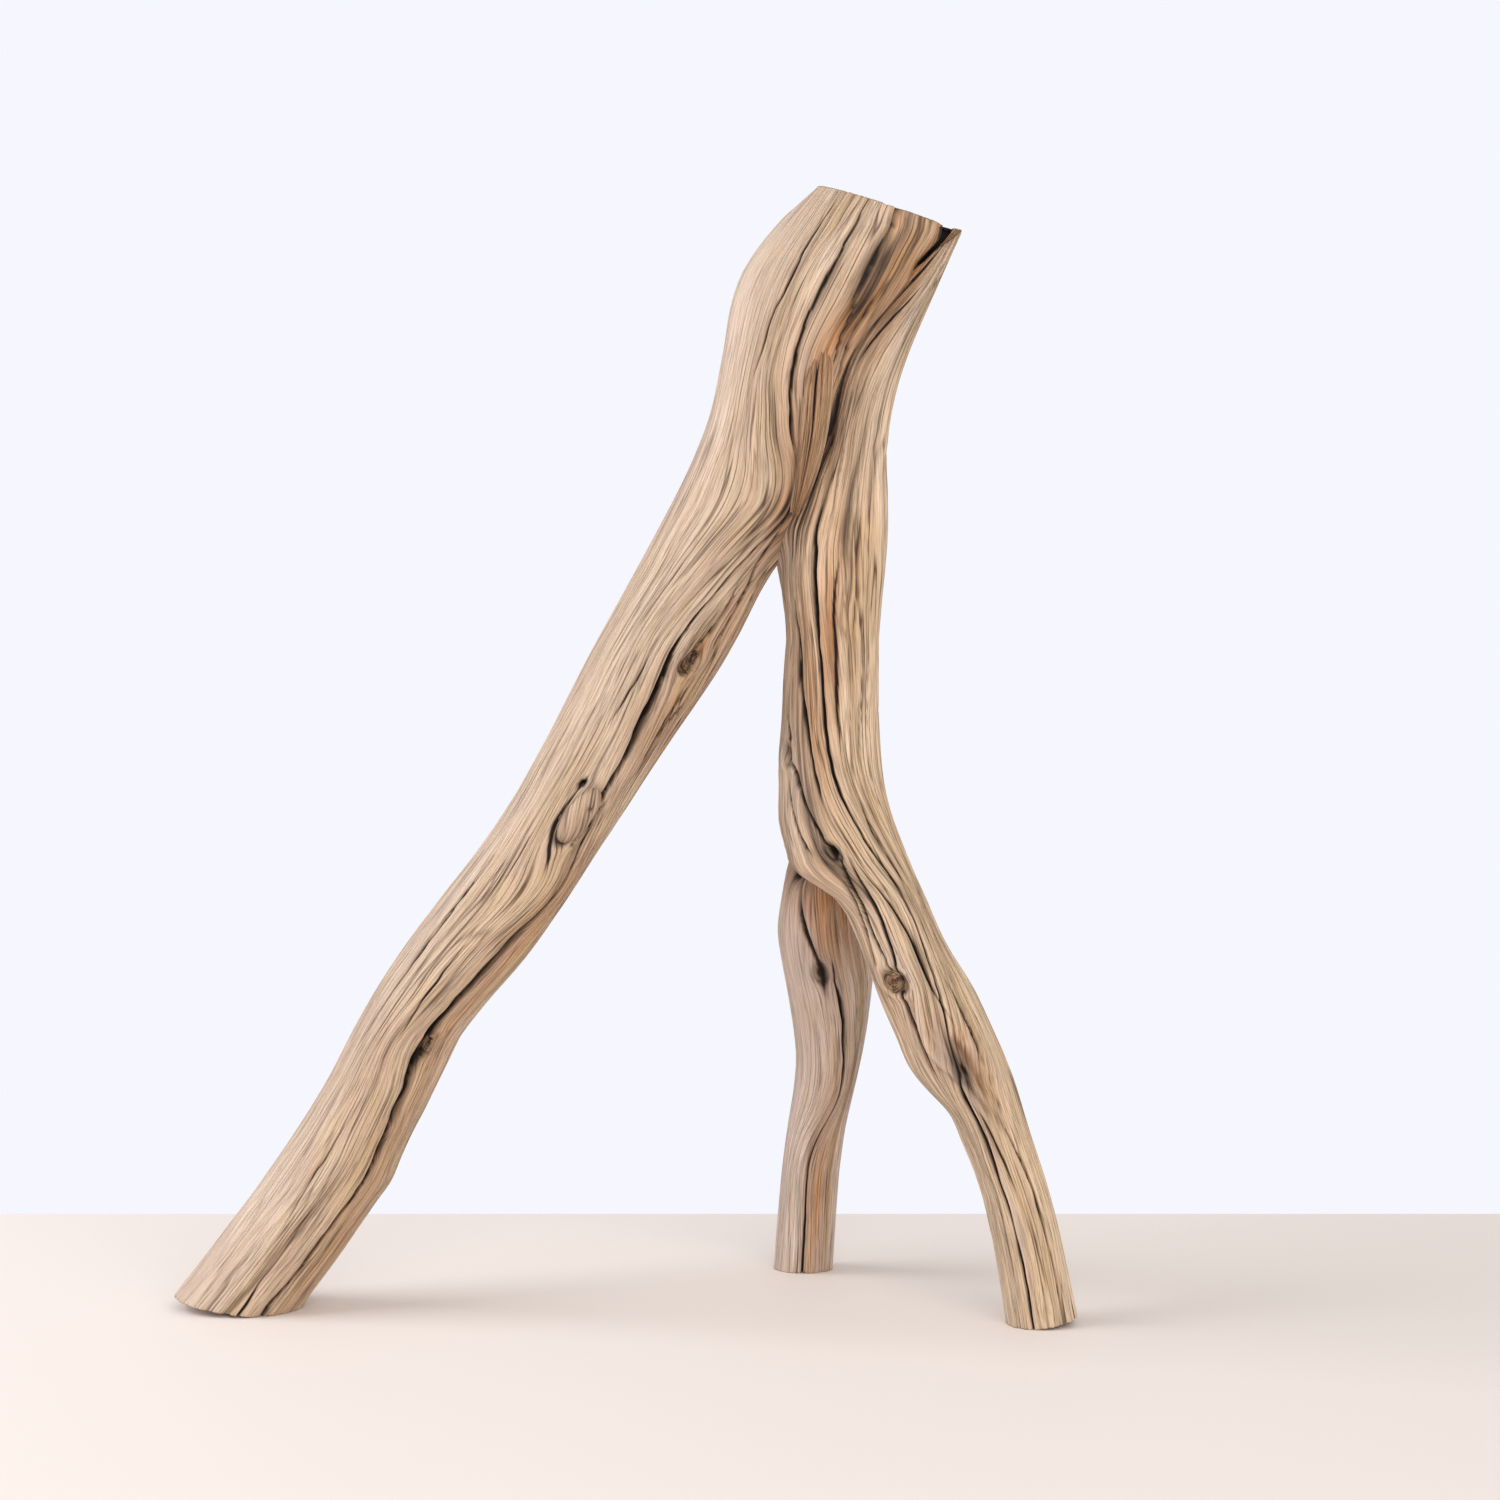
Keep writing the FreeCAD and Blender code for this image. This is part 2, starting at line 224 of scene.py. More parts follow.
def measured(name, neighbours, low, high, flatness):
    """Rows of height, pith x, pith y and radius up a limb."""
    graph = bpy.context.evaluated_depsgraph_get()
    trees = [BVHTree.FromObject(frame["nodes"][n], graph) for n in neighbours]
    corners = facets(frame["nodes"][name])
    rows = []
    for height in np.arange(low, high, CUT_STEP):
        points, weights = level_cut(corners, height)
        clear = clear_of(points, trees)
        rows.append((height, *fitted_round(points[clear], weights[clear], flatness)))
    rows = smoothed(np.array(rows))
    print(name, "radius from", rows[:, 3].min().round(1), "to", rows[:, 3].max().round(1), "mm")
    return rows


print("a limb is cut level every", CUT_STEP, "mm")

# %% The three limbs, measured
LEFT_FLAT = 0.82            # each limb's depth as a share of its width
RIGHT_FLAT = 0.95
REAR_FLAT = 0.92
LEFT_SPAN = (6.0, 331.0)    # the heights between which each limb is whole, clear of its saw cuts
RIGHT_SPAN = (4.0, 308.0)
REAR_SPAN = (3.0, 150.0)
LEFT_POCKETS = ["right_limb", "seam_tongue", "stub_knot"]
RIGHT_POCKETS = ["rear_limb", "seam_tongue"]
left_rows = measured("left_limb", LEFT_POCKETS, *LEFT_SPAN, LEFT_FLAT)
right_rows = measured("right_limb", RIGHT_POCKETS, *RIGHT_SPAN, RIGHT_FLAT)
rear_rows = measured("rear_limb", [], *REAR_SPAN, REAR_FLAT)

# %% [markdown]
# ## Courses
# Everything on a limb is placed by a height and a bearing.  A bearing is degrees round the limb:
# 0 is to the right, 90 is in front and 180 is to the left.  A course is a few turns with a height,
# a bearing and sizes.  A curve object could carry one, but a list of turns that is blurred into a
# smooth line is shorter, and can be asked about any height.

# %% Courses
LATTICE = np.arange(-40.0, 380.0, 1.0)          # heights at which a course is worked out
BLUR_SPAN = 12
BLUR = np.exp(-0.5 * (np.arange(-BLUR_SPAN, BLUR_SPAN + 1) / 4.5) ** 2)
BLUR /= BLUR.sum()


def along(turns, heights):
    """Each column of a course after its height, smoothed, at these heights."""
    turns = np.array(sorted(turns))
    columns = []
    for k in range(1, turns.shape[1]):
        bent = np.interp(LATTICE, turns[:, 0], turns[:, k])
        bent = np.pad(bent, BLUR_SPAN, "edge")
        columns.append(np.interp(heights, LATTICE, np.convolve(bent, BLUR, "valid")))
    return columns


def turned(bearing, middle):
    """How many degrees a bearing lies from a middle one, between -180 and 180."""
    return (bearing - middle + 180.0) % 360.0 - 180.0


def bump(distance, reach):
    """A soft bump, 1 in the middle and fading beyond its reach."""
    return np.exp(-((distance / reach) ** 2))


print("from 350 degrees to 10 is", turned(10.0, 350.0), "degrees")

# %% [markdown]
# ## Drying checks
# A check opens between fibres as the wood dries, so it follows the grain, wanders a little and
# pinches shut in places.  It could be cut with a boolean, but its lips are soft and it fades out at
# both ends, so it is pressed into the skin instead.  Each turn of a check gives the height, the
# bearing, how wide its mouth is and how deep it goes.  The first check of each limb is its longest,
# and the grain follows it.

# %% The left limb's checks
LONG_CHECK = [
    (350, 72, 0.3, 0.3), (339, 78, 0.4, 0.5), (330, 84, 0.5, 0.8), (318, 90, 0.8, 1.8),
    (305, 90, 0.8, 2.1), (280, 86, 0.9, 2.6), (264, 69, 0.8, 2.6), (253, 44, 0.9, 2.8),
    (243, 26, 1.2, 3.2), (234, 44, 0.6, 1.6), (225, 60, 0.5, 1.2), (208, 79, 0.6, 1.4),
    (199, 80, 0.9, 2.6), (178, 67, 2.6, 7.0), (163, 60, 1.4, 4.5), (156, 62, 0.8, 1.4),
    (137, 44, 0.7, 1.2), (127, 30, 0.9, 2.4), (118, 44, 2.2, 5.2), (110, 54, 3.0, 6.6),
    (98, 57, 2.8, 6.2), (88, 64, 2.0, 5.0), (80, 68, 2.0, 5.0), (73, 61, 2.0, 5.0),
    (66, 56, 2.6, 6.0), (58, 56, 2.4, 5.6), (48, 51, 1.8, 4.4), (38, 52, 0.9, 1.8),
    (32, 55, 0.8, 1.6), (22, 57, 1.3, 4.0), (-12, 61, 1.4, 4.0),
]
LEFT_CHECKS = [
    LONG_CHECK,
    [(334, 108, 0.3, 0), (325, 114, 0.6, 1.1), (313, 113, 0.7, 1.3), (302, 116, 0.7, 1.2),
     (292, 117, 0.6, 0.9), (276, 118, 0.4, 0)],
    [(350, 44, 1.4, 4.4), (330, 56, 1.3, 4.4), (320, 63, 1.0, 3.2), (312, 66, 0.7, 1.8),
     (304, 64, 0.4, 0)],
    [(238, 34, 0.4, 0), (228, 40, 1.0, 2.0), (214, 36, 1.4, 2.2), (204, 44, 0.9, 1.6),
     (198, 42, 0.4, 0)],
    [(222, 52, 0.3, 0), (212, 50, 0.8, 1.3), (203, 54, 0.4, 0)],
    [(190, 44, 0.4, 0), (182, 46, 1.0, 1.6), (170, 40, 0.8, 1.2), (160, 36, 0.4, 0)],
    [(199, 96, 0.4, 0), (190, 97, 0.8, 1.4), (175, 99, 0.4, 0)],
    [(186, 34, 0.4, 0), (178, 40, 0.9, 1.6), (168, 44, 0.4, 0)],
    [(142, 128, 0.4, 0), (125, 133, 0.8, 1.4), (95, 136, 0.7, 1.2), (78, 138, 0.4, 0)],
    [(116, 95, 0.4, 0), (100, 96, 0.8, 1.4), (78, 95, 0.4, 0)],
    [(150, 108, 0.4, 0), (138, 104, 0.7, 1.0), (124, 100, 0.4, 0)],
    [(62, 100, 0.4, 0), (46, 104, 0.8, 1.2), (22, 98, 0.5, 0)],
    [(48, 78, 0.4, 0), (32, 82, 2.6, 1.1), (-12, 96, 3.0, 1.5)],
    [(24, 114, 0.4, 0), (10, 112, 2.0, 0.8), (-12, 112, 2.0, 1.0)],
    [(13, 84, 0.3, 0), (6, 82, 1.0, 1.6), (-12, 80, 1.2, 2.4)],
    [(162, 86, 0.4, 0), (156, 92, 0.9, 1.2), (148, 93, 1.4, 2.4), (142, 86, 1.4, 2.6),
     (138, 74, 0.8, 1.2), (135, 66, 0.4, 0)],
    [(160, 58, 0.4, 0), (155, 64, 1.0, 1.8), (150, 68, 0.9, 1.6), (146, 69, 0.4, 0)],
    [(156, 50, 0.4, 0), (150, 58, 1.0, 1.8), (145, 62, 0.8, 1.4), (141, 62, 0.4, 0)],
    [(310, 42, 0.4, 0), (303, 47, 1.0, 2.0), (296, 44, 1.2, 2.4), (288, 40, 0.8, 1.6),
     (280, 34, 0.4, 0)],
    [(304, 63, 0.4, 0), (298, 58, 0.9, 1.6), (290, 52, 0.8, 1.4), (284, 46, 0.4, 0)],
    [(228, 16, 0.4, 0), (220, 22, 1.0, 2.0), (210, 18, 1.0, 1.8), (203, 24, 0.4, 0)],
    [(186, 20, 0.4, 0), (176, 24, 0.9, 1.6), (168, 18, 0.4, 0)],
    [(217, 46, 0.4, 0), (209, 52, 1.1, 2.0), (201, 58, 1.0, 1.6), (198, 64, 0.4, 0)],
    [(300, 215, 0.4, 0), (250, 232, 1.2, 3.0), (190, 246, 1.6, 4.0), (140, 240, 0.5, 0)],
    [(130, 262, 0.4, 0), (90, 250, 1.2, 3.0), (40, 256, 1.5, 4.0), (-12, 252, 1.2, 3.0)],
    [(340, 290, 1.0, 3.0), (300, 284, 1.4, 3.5), (262, 270, 0.5, 0)],
    [(120, 330, 0.4, 0), (90, 338, 1.0, 2.4), (50, 334, 0.5, 0)],
]
print("checks in the left limb:", len(LEFT_CHECKS))

# %% The right limb's checks
STEM_LINE = [
    (345, 25, 0, 0), (320, 52, 0, 0), (300, 92, 0, 0), (284, 110, 0, 0), (246, 118, 0.5, 0),
    (232, 116, 1.4, 2.6), (215, 113, 1.8, 4.5), (203, 106, 1.2, 3.0), (190, 101, 0.9, 2.5),
    (172, 95, 1.3, 3.5), (160, 86, 1.0, 3.0), (148, 70, 0.9, 2.5), (128, 54, 0.9, 2.0),
    (113, 60, 0.6, 1.2), (95, 74, 0.6, 1.2), (84, 88, 0.5, 0.8), (76, 98, 0.6, 1.0),
    (68, 107, 0.8, 1.8), (56, 113, 1.3, 3.0), (46, 115, 1.1, 2.4), (38, 113, 0.6, 1.2),
    (30, 110, 0.5, 1.0), (16, 108, 0.8, 2.2), (-12, 108, 0.8, 2.0),
]
RIGHT_CHECKS = [
    STEM_LINE,
    [(230, 84, 0.4, 0), (214, 90, 0.8, 1.7), (190, 84, 0.9, 1.7), (168, 78, 0.5, 0)],
    [(244, 68, 0.4, 0), (226, 62, 0.9, 1.8), (196, 64, 0.5, 0)],
    [(216, 140, 0.5, 0), (204, 136, 1.3, 2.6), (186, 128, 1.2, 2.4), (168, 116, 1.0, 2.0),
     (152, 100, 0.5, 0)],
    [(182, 158, 0.5, 0), (172, 150, 2.0, 3.0), (160, 132, 1.2, 2.6), (148, 112, 0.8, 1.6),
     (141, 104, 0.6, 1.0), (136, 102, 0.4, 0)],
    [(160, 150, 0.4, 0), (150, 136, 1.2, 2.4), (136, 126, 0.5, 0)],
    [(158, 62, 0.4, 0), (142, 50, 1.0, 2.0), (122, 34, 0.5, 0)],
    [(138, 88, 0.4, 0), (131, 96, 0.8, 1.6), (123, 104, 1.0, 2.2), (110, 108, 0.9, 2.2),
     (99, 118, 0.6, 0)],
    [(140, 92, 0.4, 0), (136, 98, 0.8, 1.6), (126, 120, 1.0, 2.0), (115, 131, 1.0, 2.0),
     (106, 123, 0.8, 1.6), (102, 118, 0.4, 0)],
    [(132, 112, 0.4, 0), (122, 132, 0.8, 1.6), (112, 142, 0.8, 1.6), (102, 142, 0.4, 0)],
    [(134, 84, 0.4, 0), (121, 81, 0.7, 1.3), (112, 71, 0.8, 1.5), (104, 80, 0.8, 1.5),
     (96, 77, 0.6, 1.0), (88, 72, 0.4, 0)],
    [(120, 104, 1.0, 0), (110, 100, 2.6, -1.3), (103, 88, 2.7, -1.8), (96, 98, 2.7, -2.0),
     (89, 115, 2.7, -2.1), (80, 117, 2.6, -2.1), (71, 98, 2.4, -1.9), (62, 91, 2.2, -1.2),
     (54, 88, 1.0, 0)],
    [(98, 120, 0.5, 0), (92, 123, 1.4, 3.0), (84, 124, 1.0, 2.4), (72, 132, 0.5, 0)],
    [(104, 52, 0.4, 0), (88, 58, 0.9, 1.8), (74, 62, 0.5, 0)],
    [(66, 74, 0.4, 0), (56, 68, 0.6, 1.1), (42, 58, 0.7, 1.3), (24, 52, 0.6, 1.1),
     (8, 50, 0.7, 1.4), (-12, 50, 0.8, 1.6)],
    [(62, 96, 0.4, 0), (54, 96, 1.0, 2.2), (44, 92, 0.5, 0.6), (30, 84, 0.4, 0)],
    [(40, 126, 0.4, 0), (30, 128, 0.7, 1.0), (12, 128, 0.4, 0)],
    [(34, 78, 0.3, 0), (22, 76, 0.6, 1.0), (6, 74, 0.4, 0)],
    [(324, 50, 0.3, 0), (314, 76, 0.8, 1.6), (304, 104, 1.0, 2.0), (298, 118, 0.4, 0)],
    [(312, 50, 0.3, 0), (303, 78, 0.8, 1.4), (292, 108, 1.0, 1.8), (287, 120, 0.4, 0)],
    [(288, 84, 0.3, 0), (276, 96, 0.6, 1.0), (262, 102, 0.4, 0)],
    [(230, 240, 0.4, 0), (190, 252, 1.5, 4.0), (150, 270, 0.5, 0)],
    [(110, 250, 0.4, 0), (70, 262, 1.2, 3.0), (20, 268, 0.5, 0)],
    [(300, 300, 0.4, 0), (262, 306, 1.0, 2.4), (220, 318, 0.5, 0)],
]
print("checks in the right limb:", len(RIGHT_CHECKS))

# %% The rear limb's checks
REAR_LINE = [
    (150, 96, 0, 0), (102, 84, 0.4, 0), (95, 79, 1.0, 2.2), (77, 67, 1.4, 4.0), (66, 58, 1.0, 2.6),
    (57, 52, 0.4, 0.4), (50, 72, 0.5, 0.6), (41, 96, 0.7, 1.0), (28, 100, 0.5, 0.8),
    (18, 96, 0.7, 1.8), (-12, 92, 0.8, 2.2),
]
REAR_CHECKS = [
    REAR_LINE,
    [(124, 128, 0.5, 0), (117, 124, 2.0, 2.4), (108, 108, 1.6, 2.2), (101, 98, 0.6, 0)],
    [(104, 100, 0.4, 0), (98, 96, 1.8, 2.0), (90, 96, 0.5, 0)],
    [(86, 270, 0.4, 0), (60, 262, 1.2, 3.0), (20, 266, 0.5, 0)],
]
print("checks in the rear limb:", len(REAR_CHECKS))

# %% [markdown]
# ## Knots
# A knot is the end of a twig that the limb has grown round.  It has a proud collar, a groove inside
# the collar and a sunken middle.  A separate ring could be laid on the limb, but the collar has to
# melt into the grain, so it is pressed into the skin.  Each row gives the height, the bearing, half
# sizes across and along, how proud the collar is and how deep the groove goes.

# %% Knots
LEFT_KNOTS = [
    (150, 72, 3.9, 8.6, 0.9, 1.5), (196, 58, 2.8, 3.4, 0.8, 0.7), (81, 58, 2.5, 3.4, 0.7, 0.9),
    (160, 89, 1.3, 1.6, 0.3, 0.3),
]
RIGHT_KNOTS = [
    (101, 122, 3.4, 3.5, 1.1, 0.8), (139.5, 103, 2.2, 2.8, 0.8, 0.5),
    (168, 150, 2.2, 3.0, 0.6, 0.4),
]
REAR_KNOTS = [(99, 100, 2.4, 3.4, 0.5, 0.5)]
print("knots:", len(LEFT_KNOTS + RIGHT_KNOTS + REAR_KNOTS))

# %% [markdown]
# ## Hollows
# Soft wood rots out of a knot or a scar and leaves a cup with warm walls.  A boolean would leave
# crisp lips, so a soft cup is sunk into the skin.  Each row gives the height, the bearing, the
# reach across and along, the depth, how warm its walls are and how much shade is painted into the
# cup.

# %% Hollows
LEFT_HOLLOWS = [
    (160, 89, 1.1, 1.2, 3.0, 0, 1.4), (79, 61, 2.4, 4.4, 3.4, 0.3, 0.7),
    (141.5, 60, 0.7, 0.7, 1.4, 0, 0.8), (198, 57, 2.6, 4.8, 2.2, 0.9, 0.45),
]
RIGHT_HOLLOWS = [
    (77, 84, 5.5, 9.5, 4.4, 1.1, 0.2), (75, 88, 1.0, 1.6, 1.6, 0, 0.5),
    (139.8, 103, 1.1, 1.4, 3.5, 0, 0.95), (170, 152, 1.8, 2.6, 2.4, 0, 0.8),
]
REAR_HOLLOWS = [
    (133, 122, 8.0, 7.0, 1.8, 2.6, 0.12), (132, 140, 3.0, 3.6, 2.4, 0.6, 0.6),
    (98, 100, 2.6, 4.6, 1.6, 0.2, 0.5),
]
print("hollows:", len(LEFT_HOLLOWS + RIGHT_HOLLOWS + REAR_HOLLOWS))

# %% [markdown]
# ## Patches of colour
# The limbs are stained brown in some places, greyed in others, and orange where they have weathered
# least.  A painted image could show that, but a few soft patches can be moved and reasoned about.
# Each row gives the height, the bearing, the reach along, degrees round, and how warm, grey and
# stained the wood is.

# %% Patches
LEFT_PATCHES = [
    (318, 40, 20, 24, 0.6, 0, 0.1), (300, 62, 16, 14, 0.5, 0, 0.1), (322, 66, 14, 14, 0, 0, 0.5),
    (285, 62, 20, 10, 0.5, 0, 0.1), (210, 98, 30, 26, 0, 0.3, 0), (300, 130, 40, 26, 0, 0.2, 0),
    (178, 50, 12, 12, 0.5, 0, 0.2), (150, 84, 14, 14, 0, 0.5, 0.1), (125, 30, 16, 20, 0.4, 0, 0.1),
    (100, 40, 20, 22, 0.4, 0, 0), (55, 40, 26, 22, 0.35, 0, 0), (15, 35, 20, 26, 0.5, 0, 0.2),
    (70, 96, 26, 16, 0.2, 0, 0), (120, 80, 14, 14, 0.2, 0, 0), (30, 130, 60, 24, 0, 0.4, 0),
    (196, 58, 5, 12, 0.4, 0, 0.3), (250, 30, 12, 26, 0.5, 0, 0.8), (240, 20, 10, 40, 0.5, 0, 0.7),
    # the dark of the patch at height 316 is painted shade on the crown
    (212, 40, 10, 12, 0.3, 0, 0), (308, 92, 9, 8, 0, 0.2, 0.35), (316, 66, 24, 30, 0.2, 0, 0.55),
    (205, 22, 20, 20, 0.3, 0, 0.35), (175, 25, 14, 16, 0.3, 0, 0.3),
    # the dark of the patch at height 288 is painted shade on the crown
    (288, 92, 26, 26, 0.2, 0, 0.28), (262, 84, 20, 24, 0.1, 0, 0.2), (81, 58, 5, 12, 0.5, 0, 0.6),
    (296, 48, 10, 14, 0.4, 0, 0.8), (200, 60, 8, 9, 0.2, 0.2, 0.2), (145, 56, 10, 8, 0.3, 0, 0.4),
]
RIGHT_PATCHES = [
    (318, 110, 10, 50, 1.0, 0, 0.2), (304, 120, 12, 40, 0.8, 0, 0.5), (300, 50, 30, 22, 0, 0.7, 0),
    (240, 145, 10, 40, 0.6, 0, 0.85), (200, 132, 40, 22, 0.3, 0, 0.2),
    (150, 118, 22, 26, 0.3, 0, 0.35), (218, 92, 30, 14, 0.7, 0, 0.1),
    (190, 100, 26, 16, 0.6, 0, 0.1), (226, 62, 20, 10, 0.4, 0, 0), (154, 140, 20, 30, 0, 0.4, 0.1),
    (226, 166, 7, 18, 0, 1.0, 0), (200, 130, 26, 24, 0.3, 0, 0.2), (78, 98, 12, 26, 0, 0.8, 0),
    (75, 90, 7, 16, 0, 0.2, 0.5), (106, 108, 9, 14, 0, 0.7, 0), (96, 130, 12, 20, 0.3, 0, 0.1),
    (20, 88, 26, 22, 0.3, 0, 0), (275, 80, 28, 60, 0, 0.2, 0.10), (30, 100, 12, 10, 0, 0.6, 0),
    (258, 140, 16, 26, 0.2, 0, 0.5), (133, 150, 5, 40, 0.3, 0, 0.4),
    (176, 160, 12, 20, 0, 0.2, 0.3), (112, 150, 16, 16, 0.4, 0, 0.3),
]
REAR_PATCHES = [
    (131, 120, 10, 48, 2.2, 0, 0.1), (112, 84, 14, 44, 0.7, 0, 0), (26, 70, 30, 26, 0.6, 0, 0.1),
    (112, 92, 12, 18, 0.5, 0, 0.1), (96, 140, 30, 40, 0, 0.6, 0), (30, 74, 26, 20, 0.55, 0, 0),
    (60, 50, 12, 16, 0.3, 0, 0), (78, 110, 26, 40, 0, 0.4, 0), (99, 102, 9, 14, 0, 0.2, 0.5),
    (131, 150, 5, 24, 0.2, 0, 0.6), (36, 96, 12, 12, 0.3, 0, 0.3),
]
print("patches:", len(LEFT_PATCHES + RIGHT_PATCHES + REAR_PATCHES))

# %% [markdown]
# ## Swells
# A limb isn't quite round: it swells over buried twigs and shrinks between them.  The solid could
# carry every swell, but these are only a few millimetres, so they belong to the skin.  Each row
# gives the height, the bearing, the reach along, degrees round and how far the wood stands out,
# or sinks in where the number is negative.

# %% Swells
LEFT_SWELLS = [
    (346, 180, 13, 50, -4.6), (38, 20, 5, 50, 1.0), (52, 18, 8, 50, -0.6), (236, 350, 6, 40, 2.4),
    (196, 30, 12, 26, 0.7), (150, 20, 10, 30, 0.6), (332, 22, 17, 34, 4.4),
]
RIGHT_SWELLS = [
    (74, 168, 8, 34, 1.7), (86, 62, 10, 14, 0.9), (61, 168, 5, 40, -1.0), (236, 190, 6, 50, 2.6),
    (104, 160, 10, 30, 0.8), (132, 158, 6, 42, 4.2), (100, 0, 8, 40, 0.9), (76, 60, 9, 20, 1.2),
    (205, 170, 8, 30, -0.9), (166, 178, 9, 26, 0.7),
]
REAR_SWELLS = [(98, 20, 7, 40, 0.9), (112, 170, 8, 40, 0.8)]
print("swells:", len(LEFT_SWELLS + RIGHT_SWELLS + REAR_SWELLS))

# %% [markdown]
# ## A limb
# A limb is its measured rows and its marks.  It can say where its pith is, how far it has grown by
# a height, where a point at a height and bearing lies, and how far outside it a point is.  Three
# meshes that were shaped by hand couldn't answer any of that, and the seams need the answers.


# %% Limb
class Limb:
    """One limb's pith, thickness and marks."""

    def __init__(self, rows, flatness, line, checks, knots, hollows, patches, swells, rough, seed):
        self.rows = rows
        self.flatness = flatness
        self.line = line
        self.checks = checks
        self.knots = knots
        self.hollows = hollows
        self.patches = patches
        self.swells = swells
        self.rough = rough
        self.seed = seed
        steps = np.linalg.norm(np.diff(rows[:, :3], axis=0), axis=1)
        self.lengths = np.concatenate([[0], np.cumsum(steps)])

    def pith(self, z):
        """Pith x, pith y and radius at height z."""
        return [np.interp(z, self.rows[:, 0], self.rows[:, k]) for k in (1, 2, 3)]

    def grown(self, z):
        """Length along the pith up to height z."""
        return np.interp(z, self.rows[:, 0], self.lengths)

    def place(self, z, bearing, rise=0.0):
        """The point at a height and bearing, this far out of the measured round."""
        x, y, radius = self.pith(z)
        angle = np.radians(bearing)
        across = radius + rise
        deep = radius * self.flatness + rise
        return np.stack([x + across * np.cos(angle), y - deep * np.sin(angle), z], axis=-1)

    def outside(self, points):
        """How far points lie outside the limb, in millimetres, at their own height."""
        x, y, radius = self.pith(points[..., 2])
        reach = np.hypot(points[..., 0] - x, (points[..., 1] - y) / self.flatness)
        return reach - radius


left = Limb(left_rows, LEFT_FLAT, LONG_CHECK, LEFT_CHECKS, LEFT_KNOTS, LEFT_HOLLOWS,
            LEFT_PATCHES, LEFT_SWELLS, rough=1.0, seed=100)
right = Limb(right_rows, RIGHT_FLAT, STEM_LINE, RIGHT_CHECKS, RIGHT_KNOTS, RIGHT_HOLLOWS,
             RIGHT_PATCHES, RIGHT_SWELLS, rough=1.5, seed=200)
rear = Limb(rear_rows, REAR_FLAT, REAR_LINE, REAR_CHECKS, REAR_KNOTS, REAR_HOLLOWS,
            REAR_PATCHES, REAR_SWELLS, rough=0.7, seed=300)
print("lengths along the pith:", [int(limb.lengths[-1]) for limb in (left, right, rear)], "mm")

# %% [markdown]
# ## The skin of a limb
# The skin is a grid: its rows are nearly level, and its columns are lines of grain.  Each point
# starts on the measured round and rises or sinks by the sum of every step that follows.  Each step
# also says how dark, warm or grey the wood becomes, and that travels with the mesh for the material
# to read.  A displacement texture could move the points, but it couldn't tell the material why.
# The steps are tried on a small strip of the left limb as they are written.


# %% Skin
class Skin:
    """A limb's surface while it is worked out: where its points lie and what the steps add."""

    def __init__(self, limb, z, bearing, grain):
        self.limb = limb
        self.z = z
        self.bearing = bearing
        self.grain = grain
        self.spread = grain.copy()              # the grain's bearing once knots have bent it
        self.radius = limb.pith(z)[2]
        self.length = limb.grown(z)
        self.rise, self.dark, self.warm, self.grey = [np.zeros(z.shape) for _ in range(4)]

    def across(self, middle):
        """Millimetres round the limb from a bearing to each point."""
        return self.radius * np.radians(turned(self.bearing, middle))

    def down(self, height):
        """Millimetres along the pith from a height to each point."""
        return self.length - self.limb.grown(height)

    def fibres(self, across, along_grain, number):
        """Noise with this many millimetres across the grain and along it."""
        place = (self.u / across, self.v / across, self.length / along_grain)
        return noise(*place, self.limb.seed + number)


def span(values):
    """The least and greatest of some values, to print."""
    return f"{values.min():.2f} to {values.max():.2f}"


strip_z, strip_grain = np.meshgrid(np.linspace(60.0, 200.0, 140), np.linspace(20.0, 160.0, 140))
strip = Skin(left, strip_z, strip_grain, strip_grain)
print("the strip's radius:", span(strip.radius))

# %% [markdown]
# ### The lit side
# One side of the wood gets painted light: the grey tone is laid over the side where the window lamp
# shines.  That side is also worn smooth, as if it had faced the weather.  Every point could share
# one roughness, but then the limbs would look turned on a lathe, the same all round.

# %% Lit and worn side
LIT_WORN_BEARING = 165.0             # the bearing that gets the most painted light and is worn smoothest
LIT_WORN_SPREAD = 48.0       # degrees round
WORN = 0.5                  # how much of the ridges the weather took


def light_and_wear_side(skin):
    """Paints light on the lit side with the grey tone, and sets how rough the skin is, smoother
    there.
    """
    rough = skin.limb.rough
    lit_and_worn = bump(turned(skin.bearing, LIT_WORN_BEARING) / LIT_WORN_SPREAD, 1.0) * (2.0 - rough)
    # painted light: the side towards the window lamp is greyed paler
    skin.grey += 0.7 * lit_and_worn
    skin.rough = rough * (1 - WORN * lit_and_worn)


light_and_wear_side(strip)
print("the strip's roughness:", span(strip.rough))

# %% [markdown]
# ### Collars
# The distance from a knot, in knot sizes, draws its collar, its groove and its sunken middle.  The
# grain is pushed aside by it as well, as a stream is by a stone, which is what makes a knot look
# grown in.  The groove is deepest on its lower left.

# %% Collars
GRAIN_RADIUS = 18.0         # every limb's grain is laid on a round this big, so its scale is one
COLLAR = 1.5                # where the collar stands, in knot sizes
GROOVE = 1.06
SUNKEN = 1.4                # millimetres
RIPPLES = 9.0               # how closely the collar's growth lines stand


